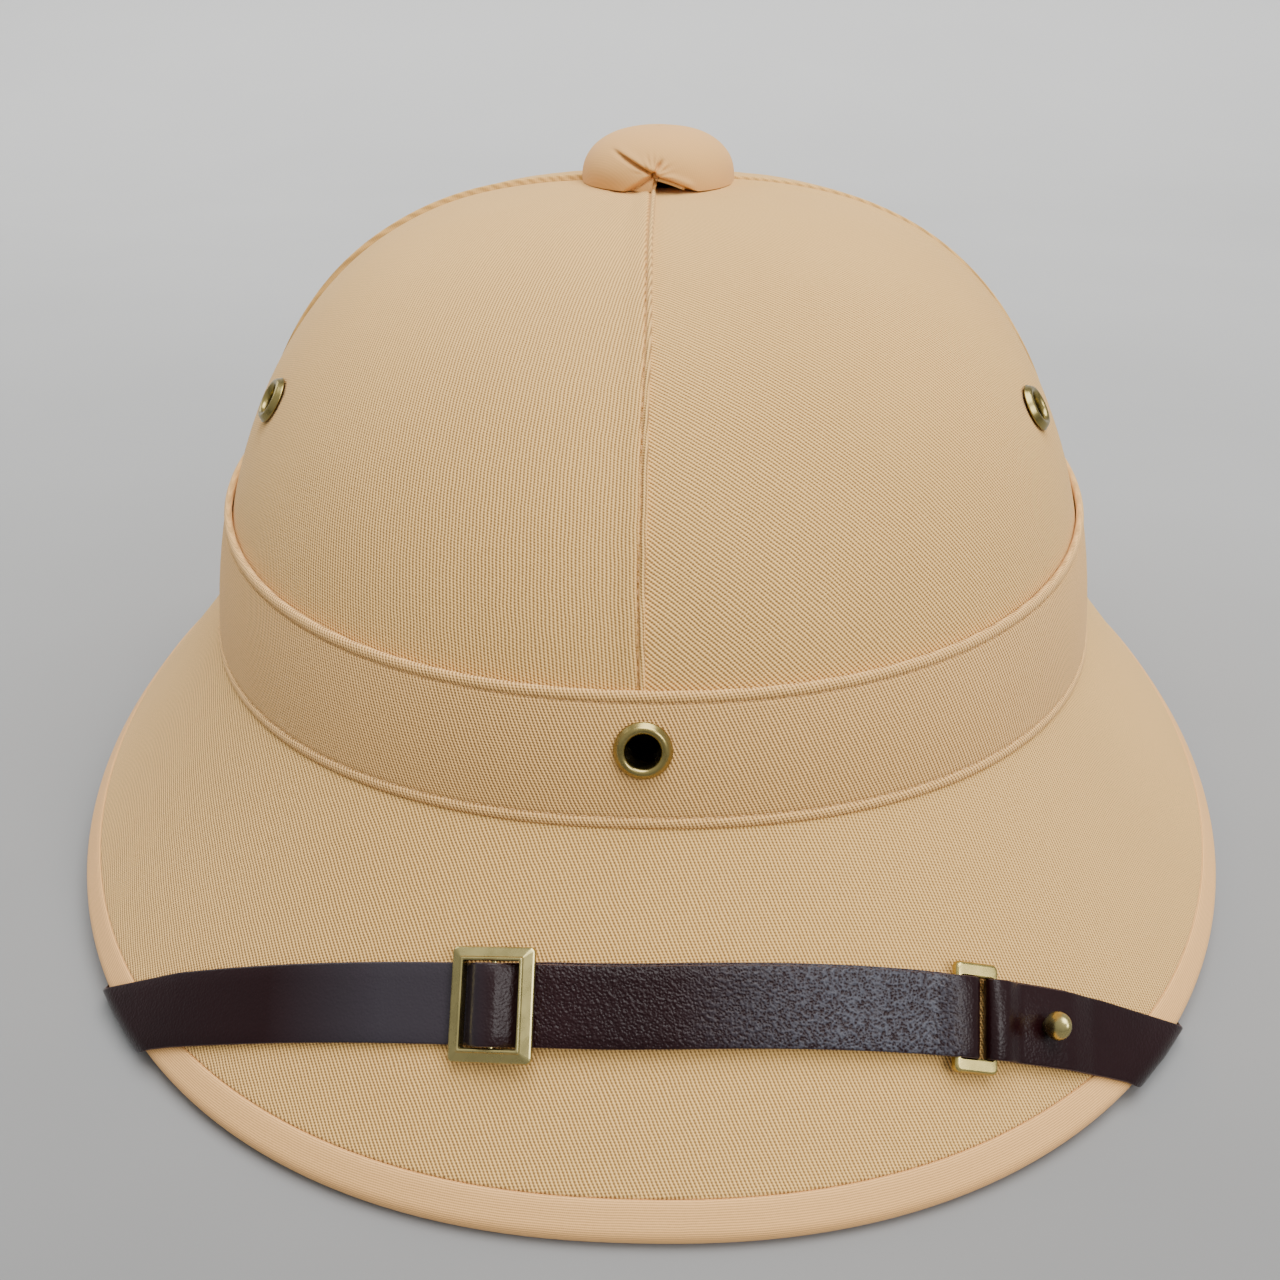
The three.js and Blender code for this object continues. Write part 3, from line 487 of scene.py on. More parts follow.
# Cuts the eyelets' holes through a piece of cloth
def make_holes(piece, places):
    for _, angle, above, layer in places:
        bm = bmesh.new()
        seat = seat_matrix(*eyelet_frame(angle, above, layer))
        bmesh.ops.create_cone(bm, cap_ends=True, segments=28, radius1=hole_radius, radius2=hole_radius,
                              depth=24 * MM, matrix=seat)
        punch = add_object("hole", mesh_of(bm, "hole"))
        opening = piece.modifiers.new("hole", "BOOLEAN")
        opening.operation = "DIFFERENCE"
        opening.object = punch
        opening.solver = "EXACT"
        bake_shape(piece)
        bpy.data.objects.remove(punch)


# Makes a piece's modifiers part of its mesh
def bake_shape(piece):
    bpy.context.view_layer.update()
    shaped = piece.evaluated_get(bpy.context.evaluated_depsgraph_get())
    piece.data = bpy.data.meshes.new_from_object(shaped)
    piece.modifiers.clear()


@lru_cache(maxsize=None)
def girth(angle):
    total, before = 0, None
    steps = max(2, int(abs(angle - FRONT) / 0.02) + 2)
    for k in range(steps + 1):
        at = mix(FRONT, angle, k / steps)
        spot = place(crown_base(at), at)
        if before is not None:
            total += (spot - before).length
        before = spot
    return total if angle >= FRONT else -total


ring_girth = girth(FRONT + 2 * HALF_TURN)

# Crown: four gores, each from its own seam's start to the lap over the next gore.
# Distances are in millimetres from the seam.

seam_start = [-0.9, 0.3, 1.2, 2.6, 4.2, 6]
seam_end = [6, 5, 4.2, 3.5, 2.9, 2.45, 2.1, 1.8, 1.55, 1.35, 1.2, 1.08, 0.96, 0.84, 0.7, 0.5]
seam_end += [0.3, 0.12, 0.0, -0.08, -0.14, -0.16]
stitch_before = 1.02
gore_columns = 34
gore_rows = 64
quarter = HALF_TURN / 2
lap_rise = 1.15 * MM


# How far the lapped edge stands above the gore, by the distance before the seam
def lap_height(before):
    rise = lap_rise * smooth(5.5, 1.7, before) * 0.55
    roll = lap_rise * 0.45 * smooth(1.1, 0.55, before)
    groove = -0.5 * MM * math.exp(-(((before - stitch_before) / 0.26) ** 2))
    edge = -1.0 * MM * smooth(0.22, -0.16, before) ** 1.5
    return rise + roll + groove + edge


def seam_wander(up):
    return 0.3 * MM * noise.noise(Vector((up * 40, 0, 0)))


def gore_spot(start, i, up_share):
    end = start + quarter
    count = len(seam_start) + gore_columns + len(seam_end)
    low = 3 * MM
    if i < len(seam_start):
        up = mix(low, dome_length(start, vent_radius), up_share)
        distance = seam_start[i] * MM + seam_wander(up)
        return start + distance / max(on_wall(start, up, 0).x, vent_radius), up, 0
    if i >= count - len(seam_end):
        before = seam_end[i - count + len(seam_end)]
        up = mix(low, dome_length(end, vent_radius), up_share)
        distance = seam_wander(up) - before * MM
        return end + distance / max(on_wall(end, up, 0).x, vent_radius), up, lap_height(before)
    share = (i - len(seam_start) + 1) / (gore_columns + 1)
    up = mix(low, dome_length(mix(start, end, share), vent_radius), up_share)
    r0 = max(on_wall(start, up, 0).x, vent_radius)
    r1 = max(on_wall(end, up, 0).x, vent_radius)
    first = start + (seam_start[-1] * MM + seam_wander(up)) / r0
    last = end - (seam_end[0] * MM - seam_wander(up)) / r1
    return mix(first, last, share), up, 0


# Lays the crown flat about a gore's middle, so that the weave keeps its pitch
def crown_flat(point, middle):
    centre = Vector((0, -crown_forward, 45 * MM))
    elevation = math.radians(38)
    level = math.cos(elevation)
    ahead = Vector((math.cos(middle) * level, math.sin(middle) * level, math.sin(elevation)))
    side = UP.cross(ahead).normalized()
    top = ahead.cross(side)
    ray = (point - centre).normalized()
    x, y, z = ray.dot(side), ray.dot(top), ray.dot(ahead)
    reach = math.atan2(math.hypot(x, y), z) * 104 * MM
    size = max(math.hypot(x, y), 1e-9)
    return reach * x / size, reach * y / size


# Clears the cloth behind the front eyelet, where the band hides the opening's edge
def clear_behind(bm, eyelet):
    _, angle, above, layer = eyelet
    spot, out, _ = eyelet_frame(angle, above, layer)
    hidden = []
    for face in bm.faces:
        aside = face.calc_center_median() - spot
        if (aside - out * aside.dot(out)).length < cleared_radius:
            hidden.append(face)
    bmesh.ops.delete(bm, geom=hidden, context="FACES")


def build_gore(name, start, cloth, side_eyelets=()):
    columns = len(seam_start) + gore_columns + len(seam_end) - 1
    spots = {}
    for i in range(columns + 1):
        for j in range(gore_rows + 1):
            angle, up, height = gore_spot(start, i, j / gore_rows)
            pucker = 0.12 * MM * noise.noise(Vector((angle * 9, up * 60, 3.1)))
            spots[i, j] = place(on_wall(angle, up, cloth_outside + height + pucker), angle)
    bm = laid_grid(columns, gore_rows, lambda i, j: spots[i, j],
                   lambda i, j: crown_flat(spots[i, j], start + quarter / 2))
    area = sum(face.calc_area() for face in bm.faces)
    clear_behind(bm, eyelets[0])
    piece = finish_piece(name, bm, [cloth], name, slot="crown_cloth")
    add_thickness(piece, 0.9 * cloth_wall)
    make_holes(piece, side_eyelets)
    width = girth(FRONT + quarter)
    dome_length(start, 0)


build_gore("crown_panel_front_right", FRONT, right_gore_cloth, eyelets[2:])
build_gore("crown_panel_back_right", 0, left_gore_cloth)
build_gore("crown_panel_back_left", quarter, right_gore_cloth)
build_gore("crown_panel_front_left", 2 * quarter, left_gore_cloth, eyelets[1:2])


stitch_long = 1.5 * MM
stitch_step = 2.1 * MM


# Stitches: short threads that dip at both ends, laid along a line
def add_stitch(bm, spot, along, out, length, radius):
    side = out.cross(along).normalized()
    turn = Matrix((along.normalized(), side, out)).transposed().to_4x4()
    shape = Matrix.Translation(spot) @ turn @ Matrix.Diagonal((length / 2, radius, radius, 1))
    bmesh.ops.create_uvsphere(bm, u_segments=6, v_segments=5, radius=1, matrix=shape)


def build_seam_stitches():
    bm = bmesh.new()
    bm.loops.layers.uv.new("cloth")
    for k in range(4):
        seam = FRONT + k * quarter
        up = band_top_along(seam) + 1.2 * MM
        end = dome_length(seam, 16 * MM)
        while up < end:
            spots = []
            for step in (0, 0.4 * MM):
                r = on_wall(seam, up + step, 0).x
                angle = seam + (seam_wander(up + step) - stitch_before * MM) / r
                layer = cloth_outside + lap_height(stitch_before) + 0.02 * MM
                spots.append(place(on_wall(angle, up + step, layer), angle))
            out = place(on_wall(seam, up, 1), seam) - place(on_wall(seam, up, 0), seam)
            add_stitch(bm, spots[0], spots[1] - spots[0], out.normalized(), stitch_long, 0.19 * MM)
            up += stitch_step
    finish_piece("crown_stitches", bm, [thread], slot="crown_cloth")


build_seam_stitches()

# Band: a ring of cloth whose top and bottom are turned into hems

ring_columns = 288
hem_low = [(0.0, 0.95), (0.1, 1.25), (0.4, 1.5), (0.9, 1.58), (1.4, 1.54), (1.75, 1.38), (1.95, 1.12)]
hem_low += [(2.1, 0.98), (2.3, 1.1), (2.6, 1.19), (3.2, 1.2)]
hem_top = hem_low[:0:-1] + [(0.0, 0.9), (0.05, 0.45), (0.3, 0.05)]
hem_out = 1.4
stitch_up = 2.1 * MM
band_middle_rows = 10


@lru_cache(maxsize=None)
def band_section(angle):
    foot = foot_up(angle, band_seat + hem_out * MM)
    top = band_top_along(angle)
    points = []
    for out in (0.05, 0.6):
        points.append((foot_up(angle, band_seat + out * MM) + 0.02 * MM, out * MM))
    for up, out in hem_low:
        low = foot_up(angle, band_seat + out * MM) if up < 0.1 else foot
        points.append((low + up * MM, out * MM))
    start, end = points[-1][0], top - hem_top[0][0] * MM
    for k in range(1, band_middle_rows):
        points.append((mix(start, end, k / band_middle_rows), 1.2 * MM))
    points += [(top - down * MM, out * MM) for down, out in hem_top]
    points.append((mix(start, end, 0.5), 0.02 * MM))
    return points


def ring_angle(i):
    return FRONT + HALF_TURN + 2 * HALF_TURN * i / ring_columns


# The same angle on the flat cloth, whose middle is at the front
def cut_angle(i):
    return FRONT - HALF_TURN + 2 * HALF_TURN * i / ring_columns


def build_band():
    rows = len(band_section(FRONT))

    def lay(i, j):
        angle = ring_angle(i)
        up, out = band_section(angle)[j]
        return place(on_wall(angle, up, band_seat + out), angle)

    def flat(i, j):
        return girth(cut_angle(i)), band_section(FRONT)[j % rows][0]

    bm = face_outward(laid_grid(ring_columns, rows, lay, flat, ring=True, tube=True))
    piece = finish_piece("band", bm, [band_cloth], "band", slot="band_cloth")
    make_holes(piece, eyelets[:1])
    widths = [band_section(angle)[-2][0] - band_section(angle)[0][0] for angle in (FRONT, 0)]


build_band()


def build_hem_stitches():
    bm = bmesh.new()
    bm.loops.layers.uv.new("cloth")
    for edge in ("low", "top"):
        angle = FRONT - HALF_TURN
        while angle < FRONT + HALF_TURN:
            ahead = angle + 0.004
            if edge == "low":
                up, up2 = (foot_up(at, band_seat + hem_out * MM) + stitch_up for at in (angle, ahead))
            else:
                up, up2 = (band_top_along(at) - stitch_up for at in (angle, ahead))
            spot = place(on_wall(angle, up, band_seat + 1.02 * MM), angle)
            next_spot = place(on_wall(ahead, up2, band_seat + 1.02 * MM), ahead)
            out = (place(on_wall(angle, up, 1), angle) - place(on_wall(angle, up, 0), angle)).normalized()
            add_stitch(bm, spot, next_spot - spot, out, stitch_long, 0.17 * MM)
            angle += stitch_step / on_wall(angle, up, band_seat).x
    finish_piece("band_stitches", bm, [thread], slot="band_cloth")


build_hem_stitches()

# Brim: the cloth on its upper side, and the binding round its edge

binding_width = 6.9 * MM
binding_under = 9 * MM
binding_leg = binding_width - half_edge
binding_top = [(1.0, 0.9), (0.995, 0.5), (0.97, 0.2), (0.9, 0.04), (0.7, -0.04), (0.4, -0.04), (0.15, 0)]
binding_low = [(0.4, 0), (0.8, 0), (0.97, 0.1), (1.0, 0.5), (1.0, 0.95)]
cover_edge = [(0.0, -0.85), (0.02, -0.45), (0.15, -0.15), (0.45, -0.02), (1.0, 0.0)]
cover_rows = 22
cover_cone = 0.72
rim_to_crown = 1.4


def build_cover():
    @lru_cache(maxsize=None)
    def section(angle):
        length = brim_length(angle)
        start = binding_leg + gap * 0.4
        points = [(start + up * MM, low * MM) for up, low in cover_edge]
        first = points[-1][0]
        for k in range(1, cover_rows + 1):
            points.append((mix(first, length - 1.4 * MM, k / cover_rows), 0))
        return [(up / length, low) for up, low in points]

    rows = len(section(FRONT)) - 1

    def lay(i, j):
        angle = ring_angle(i)
        share, low = section(angle)[j]
        ripple = 0.16 * MM * noise.noise(Vector((math.cos(angle) * 4, math.sin(angle) * 4, share * 2.5)))
        return place(on_brim(angle, share, cloth_outside + low + ripple * min(share * 6, 1)), angle)

    def flat(i, j):
        spot = lay(i % ring_columns, j)
        swing = (cut_angle(i) - FRONT) * cover_cone
        reach = math.hypot(spot.x, spot.y + crown_forward) / cover_cone
        return reach * math.sin(swing), -reach * math.cos(swing)

    bm = laid_grid(ring_columns, rows, lay, flat, ring=True)
    face_up(bm)
    area = sum(face.calc_area() for face in bm.faces)
    piece = finish_piece("brim_cover", bm, [cover_cloth], "brim_cover", slot="crown_cloth")
    add_thickness(piece, 0.9 * cloth_wall)


build_cover()


rim_spots = [place(rim_end(ring_angle(i)), ring_angle(i)) for i in range(ring_columns + 1)]


def build_binding():
    turns = 14

    @lru_cache(maxsize=None)
    def section(angle):
        rim = rim_end(angle)
        way = (crown_base(angle) - rim).normalized()
        out = Vector((way.y, -way.x))
        slope = math.atan2(way.y, -way.x)
        points = []
        for share, low in binding_top:
            points.append(rim + way * binding_leg * share + out * (half_edge - low * MM))
        for k in range(turns + 1):
            turn = HALF_TURN / 2 - slope - HALF_TURN * k / turns
            points.append(rim + Vector((math.cos(turn), math.sin(turn))) * half_edge)
        under = binding_under - half_edge
        for share, low in binding_low:
            points.append(rim + way * under * share - out * (half_edge - low * MM))
        nose = rim + way * 0.4 * MM
        points.append(nose + way * (under - 0.4 * MM) - out * cloth_inside)
        points += [nose - out * cloth_inside, nose + out * cloth_inside]
        points.append(nose + way * (binding_leg - 0.4 * MM) + out * cloth_inside)
        lowest = rim.y - half_edge * math.cos(rest_flat_angle)
        for point in points:
            point.y = max(point.y, lowest)
        return points

    rows = len(section(FRONT))

    def lay(i, j):
        angle = ring_angle(i)
        return place(section(angle)[j], angle)

    lengths = [0.0]
    for a, b in zip(section(FRONT), section(FRONT)[1:] + section(FRONT)[:1]):
        lengths.append(lengths[-1] + (b - a).length)

    def flat(i, j):
        return girth(cut_angle(i)) * rim_to_crown, lengths[j]

    bm = face_outward(laid_grid(ring_columns, rows, lay, flat, ring=True, tube=True))
    piece = finish_piece("brim_binding", bm, [binding_cloth], "brim_binding", slot="binding_cloth")


build_binding()

# Button on the crown's top: a cloth-covered cap, gathered at a pucker at its front.
# Its creases are told by the distance aside from the cap's middle and the height.

button_radius = 16.8
button_height = 11.2
button_power = 2.42
button_aside = 0.6 * MM
button_columns = 180
button_rows = 70
under_rows = 6
pucker = (-1.0, 3.3)
left_foot = (-6.4, 0.0)
right_foot = 8.4
long_crease_end = (-9.6, 7.4)
short_crease_end = (0.9, 6.3)


def button_angle(i):
    share = i / button_columns
    return FRONT + 2 * HALF_TURN * share - 0.75 * math.sin(2 * HALF_TURN * share)


# How far a point lies aside of a crease, how far beyond its ends, and how far along
def from_crease(x, z, start, end):
    dx, dz = end[0] - start[0], end[1] - start[1]
    length = math.hypot(dx, dz)
    along = ((x - start[0]) * dx + (z - start[1]) * dz) / length
    side = ((x - start[0]) * dz - (z - start[1]) * dx) / length
    return side, max(-along, along - length, 0), along / length


def bump_at(distance, width):
    return math.exp(-((distance / width) ** 2))


# The height of the cap's lower edge: it is lifted from the crown right of the pucker
def lifted_edge(x):
    share = min(max((x - pucker[0]) / (right_foot - pucker[0]), 0), 1)
    return pucker[1] * smooth(-1.3, -0.85, x) * (1 - share**1.3)


def gathers(x, z):
    side, beyond, along = from_crease(x, z, pucker, long_crease_end)
    there = bump_at(beyond, 1.0) * smooth(1.15, 0.6, along)
    pull = there * (1.5 * bump_at(side, 0.36) - 0.45 * bump_at(side - 1.0, 0.7))
    side, beyond, along = from_crease(x, z, pucker, short_crease_end)
    there = bump_at(beyond, 0.6) * smooth(1.2, 0.5, along)
    pull += there * (1.2 * bump_at(side, 0.34) - 0.3 * bump_at(side - 0.8, 0.5))
    side, beyond, along = from_crease(x, z, left_foot, pucker)
    there = bump_at(beyond, 0.5)
    pull += there * 1.5 * bump_at(side, 0.36)
    if left_foot[0] < x < pucker[0]:
        pull += 0.9 * smooth(0.05, 0.3, side)
    reach = math.hypot(x - pucker[0], z - pucker[1])
    turn = math.atan2(z - pucker[1], x - pucker[0])
    pull += 0.13 * math.sin(turn * 17) * bump_at(reach - 2.6, 1.6) * smooth(-0.6, -0.2, turn)
    return pull


def button_spot(i, j):
    angle = button_angle(i)
    turn = max(j - under_rows, 0) / (button_rows - under_rows)
    turn = turn**1.6 * HALF_TURN / 2
    tuck = max(1 - j / under_rows, 0) ** 1.5
    r = button_radius * max(math.cos(turn), 0) ** (2 / button_power)
    z = button_height * math.sin(turn) ** (2 / button_power)
    bulge = noise.noise(Vector((math.cos(angle) * 1.6, math.sin(angle) * 1.6, z * 0.16)))
    r += bulge * 0.35 * (1 - tuck)
    x = r * math.cos(angle)
    if math.sin(angle) < 0:
        edge = lifted_edge(x)
        r -= gathers(x, max(z, edge))
        r += 0.35 * bump_at(z - edge - 0.7, 0.7) * smooth(0, 1, edge)
        z = max(z, edge)
    r -= 4.5 * tuck
    z -= 0.5 * tuck
    ahead = Vector((math.cos(angle), math.sin(angle), 0)) * r
    centre = Vector((button_aside, -crown_forward, crown_top - 0.2 * MM))
    return centre + (ahead + UP * max(z, 0)) * MM


def build_button():
    def flat(i, j):
        spot = button_spot(i % button_columns, j)
        height = spot.z - crown_top
        reach = 0.7 * (button_height * MM - height)
        size = max(math.hypot(spot.x, spot.y + crown_forward), 1e-6)
        return spot.x * (1 + reach / size), (spot.y + crown_forward) * (1 + reach / size)

    bm = laid_grid(button_columns, button_rows, button_spot, flat, ring=True)
    bmesh.ops.remove_doubles(bm, verts=bm.verts, dist=1e-6)
    face_up(bm)
    area = sum(face.calc_area() for face in bm.faces)
    piece = finish_piece("top_button", bm, [button_cloth], "top_button", slot="crown_cloth")
    add_thickness(piece, 0.8 * MM)


build_button()


# The eyelet's section: radius and height over the cloth, then the washer inside
eyelet_flange = [(2.95, 0.3), (3.0, 0.8), (3.15, 1.2), (3.45, 1.5), (3.85, 1.6), (4.2, 1.5), (4.5, 1.2)]
eyelet_flange += [(4.75, 0.8), (5.0, 0.55), (5.1, 0.35), (4.8, 0.22), (3.6, 0.22), (3.5, 0.1)]
washer_wall = 0.6
washer_radius = 4.6


def build_eyelets():
    for name, angle, above, layer in eyelets:
        inside = -(layer + shell_wall / 2 + 0.75 * MM) / MM
        section = [(2.95, inside - washer_wall)] + eyelet_flange + [(3.5, inside), (washer_radius, inside)]
        section += [(washer_radius, inside - washer_wall), (3.05, inside - washer_wall)]
        bm = bmesh.new()
        seat = seat_matrix(*eyelet_frame(angle, above, layer))
        turned(bm, [(r * MM, a * MM) for r, a in section], seat)
        finish_piece(name, bm, [eyelet_brass], name, slot="brass")


build_eyelets()

# Chin strap: its line over the brim, the same as the frame's

strap_width = 13.4 * MM
strap_wall = 1 * MM
strap_middle = -3.9 * MM
strap_brim_share = 0.517
strap_crossings = (FRONT - math.radians(38.8), FRONT + math.radians(37.1))
strap_line_power = 1.87
buckle_at = -22.2
ring_at = 58.6
stud_at = 72.8
strap_steps = 400
layer_one = 0.85
layer_two = 2.15
ring_level = 2.35
bar_level = 2.2
hump_level = 4.85
peek = 0.4


# The brim at a place seen from above: share of the way to the crown, and the angle
def brim_place(x, y):
    angle = math.atan2(y + crown_forward, x)
    rim, base = rim_end(angle), crown_base(angle)
    return (rim.x - math.hypot(x, y + crown_forward)) / (rim.x - base.x), angle


def brim_height(x, y):
    share, angle = brim_place(x, y)
    return mix(rim_end(angle).y, crown_base(angle).y, share) - brim_dish * 4 * share * (1 - share)


def brim_normal(x, y):
    near = 0.5 * MM
    slope_x = (brim_height(x + near, y) - brim_height(x - near, y)) / (2 * near)
    slope_y = (brim_height(x, y + near) - brim_height(x, y - near)) / (2 * near)
    return Vector((-slope_x, -slope_y, 1)).normalized()


def strap_points():
    middle_y = place(on_brim(FRONT, strap_brim_share, 0), FRONT).y
    ends = [place(rim_end(angle), angle) for angle in strap_crossings]
    points = []
    for k in range(strap_steps + 1):
        x = mix(ends[0].x, ends[1].x, k / strap_steps)
        end = ends[0] if x < strap_middle else ends[1]
        out = abs((x - strap_middle) / (end.x - strap_middle))
        y = mix(middle_y, end.y, out**strap_line_power)
        points.append(Vector((x, y, brim_height(x, y))))
    return points


strap_line = strap_points()
strap_along = [0.0]
for before, after in zip(strap_line, strap_line[1:]):
    strap_along.append(strap_along[-1] + (after - before).length)
strap_half = strap_along[-1] / 2


# The frame at a distance along the strap's line from its middle
def strap_frame(at):
    reach = min(max(at + strap_half, 0), 2 * strap_half)
    k = min(max(bisect_left(strap_along, reach), 1), strap_steps)
    share = (reach - strap_along[k - 1]) / (strap_along[k] - strap_along[k - 1])
    point = mix(strap_line[k - 1], strap_line[k], share)
    normal = brim_normal(point.x, point.y)
    forward = strap_line[min(k + 2, strap_steps)] - strap_line[max(k - 3, 0)]
    forward = (forward - normal * forward.dot(normal)).normalized()
    return point, normal, forward, normal.cross(forward)


# Rounds off the corners of a route
def rounded(route, times=2):
    for _ in range(times):
        kept = [route[0]]
        for a, b in zip(route, route[1:]):
            kept.append(tuple(mix(p, q, 0.25) for p, q in zip(a, b)))
            kept.append(tuple(mix(p, q, 0.75) for p, q in zip(a, b)))
        route = kept + [route[-1]]
    return route


# A strap's stations from its route: distance along the line, height over the brim's
# cloth, and shift towards the crown, in millimetres. A station is a lower and an
# upper row of three points.
def stations_on_brim(route):
    fine = [route[0]]
    for a, b in zip(route, route[1:]):
        parts = max(1, round(abs(b[0] - a[0]) / 2.5))
        fine += [tuple(mix(p, q, k / parts) for p, q in zip(a, b)) for k in range(1, parts + 1)]
    fine = rounded(fine)
    stations = []
    for k, (at, height, aside) in enumerate(fine):
        before, after = fine[max(k - 1, 0)], fine[min(k + 1, len(fine) - 1)]
        way = Vector((after[0] - before[0], after[1] - before[1])).normalized()
        rows = []
        for layer in (0.5, -0.5):
            spot = Vector((at, height)) + Vector((way.y, -way.x)) * layer * strap_wall / MM
            point, normal, _, across = strap_frame(spot.x * MM)
            middle = point + normal * (half_edge + spot.y * MM) + across * aside * MM
            rows.append([middle + across * v * strap_width / 2 for v in (-1, 0, 1)])
        stations.append(rows)
    return stations


def edge_slope(angle):
    inward = on_brim(angle, 1 / 3, 0) - on_brim(angle, 0, 0)
    return math.atan2(inward.y, -inward.x)


# The strap round the rim, and under the brim to its rivet in the crown's wall
def hidden_stations(sign, rivet_angle):
    point, _, forward, across = strap_frame(sign * (strap_half - strap_width))
    outwards = forward * sign
    crossing = []
    for v in (-1, 0, 1):
        low, high = 0, 3 * strap_width
        start = point + across * v * strap_width / 2
        for _ in range(30):
            reach = (low + high) / 2
            spot = start + outwards * reach
            if brim_place(spot.x, spot.y)[0] > 0:
                low = reach
            else:
                high = reach
        spot = start + outwards * low
        crossing.append(brim_place(spot.x, spot.y)[1])
    near = 0.01
    ahead, behind = crossing[1] + near * sign, crossing[1] - near * sign
    rim_way = place(rim_end(ahead), ahead) - place(rim_end(behind), behind)
    radius = half_edge + layer_one * MM
    advance = HALF_TURN * radius / math.tan(outwards.angle(rim_way)) / (rim_way.length / (2 * near))
    stations = []
    rim_steps = 14
    for k in range(rim_steps + 1):
        share = k / rim_steps
        rows = []
        for layer in (-0.5, 0.5):
            row = []
            for start in crossing:
                angle = start + sign * advance * share
                turn = HALF_TURN / 2 - edge_slope(angle) - share * HALF_TURN
                reach = radius + layer * strap_wall
                row.append(place(rim_end(angle) + Vector((math.cos(turn), math.sin(turn))) * reach, angle))
            rows.append(row)
        stations.append(rows)
    return stations + stations_under_brim(rivet_angle, stations[-1])


def stations_under_brim(rivet_angle, last):
    up = wall_up_at(rivet_angle, crown_base(rivet_angle).y + 10 * MM)
    seat, out, rise = wall_frame(rivet_angle, up, -shell_wall / 2 - 0.8 * MM - strap_wall / 2)
    start = (last[0][1] + last[1][1]) / 2
    start_across = last[0][2] - last[0][0]
    straight = (seat - start).normalized()
    start_across = (start_across - straight * start_across.dot(straight)).normalized()
    inward = -out
    level = straight - inward * straight.dot(inward)
    level = (level - rise * level.dot(rise)).normalized()
    lean = math.radians(25)
    tangent = rise * math.cos(lean) + level * math.sin(lean)
    reach = (seat - start).length
    tail = 6.5 * MM
    below = seat - tangent * tail
    bends = [start, start + straight * reach / 3, below - tangent * reach / 4 + inward * reach / 16, below]
    stations = []
    steps = 16

    def station_at(point, forward, share):
        normal = start_across.cross(straight).normalized()
        if normal.z > 0:
            normal.negate()
        normal = mix(normal, inward, share)
        normal = (normal - forward * normal.dot(forward)).normalized()
        across = normal.cross(forward)
        if across.dot(start_across) < 0:
            across.negate()
        middles = (point + normal * layer * strap_wall for layer in (-0.5, 0.5))
        return [[middle + across * v * strap_width / 2 for v in (-1, 0, 1)] for middle in middles]

    for k in range(1, steps + 1):
        t = k / steps
        a, b, c, d = bends
        spot = a * (1 - t) ** 3 + b * 3 * t * (1 - t) ** 2 + c * 3 * t * t * (1 - t) + d * t**3
        forward = (b - a) * (1 - t) ** 2 + (c - b) * 2 * t * (1 - t) + (d - c) * t * t
        stations.append(station_at(spot, forward.normalized(), t**0.7))
    stations.append(station_at(seat + tangent * tail, tangent, 1))
    return stations


# The strap's section: shares of its half width and of its wall
strap_section = [(-1, -0.18), (-1, 0.18), (-0.985, 0.4), (-0.945, 0.5), (-0.6, 0.5), (-0.2, 0.5), (0.2, 0.5)]
strap_section += [(0.6, 0.5), (0.945, 0.5), (0.985, 0.4), (1, 0.18), (1, -0.18), (0.985, -0.4), (0.945, -0.5)]
strap_section += [(0, -0.5), (-0.945, -0.5), (-0.985, -0.4)]
edge_from = 0.98


def build_strap(name, sign, rivet_angle, route):
    hidden = hidden_stations(sign, rivet_angle)[::-1]
    if sign > 0:
        hidden = [rows[::-1] for rows in hidden]
    stations = hidden + stations_on_brim(route)
    rows = len(strap_section)

    def lay(i, j):
        v, h = strap_section[j]
        low, high = stations[i]
        shares = (v * (v - 1) / 2, 1 - v * v, v * (v + 1) / 2)
        ends = [sum((spot * s for spot, s in zip(row, shares)), Vector()) for row in (low, high)]
        return mix(*ends, h + 0.5)

    sides = {j for j in range(rows) if abs(strap_section[j][0]) > edge_from}
    cut_edges = {(j, (j + 1) % rows) for j in sides if (j + 1) % rows in sides}
    bm = bmesh.new()
    bmesh.ops.create_grid(bm, x_segments=len(stations) - 1, y_segments=rows, size=0.5)
    last = len(stations) - 1
    spots = {v: (round((v.co.x + 0.5) * last), round((v.co.y + 0.5) * rows)) for v in bm.verts}
    for face in bm.faces:
        levels = sorted({spots[v][1] for v in face.verts})
        face.material_index = int((levels[0], levels[1] % rows) in cut_edges)
    for v, (i, j) in spots.items():
        v.co = lay(i, j % rows)
    bmesh.ops.remove_doubles(bm, verts=bm.verts, dist=1e-7)
    ends = bmesh.ops.holes_fill(bm, edges=[edge for edge in bm.edges if edge.is_boundary], sides=0)
    for face in ends["faces"]:
        face.material_index = 1
    face_outward(bm)
    finish_piece(name, bm, [strap_face, strap_edge], name, slot="strap_leather")


def arc_route(at, height, reach_at, reach_height, start, end):
    steps = 10
    turns = [math.radians(mix(start, end, k / steps)) for k in range(steps + 1)]
    return [(at + reach_at * math.cos(t), height + reach_height * math.sin(t), 0) for t in turns]


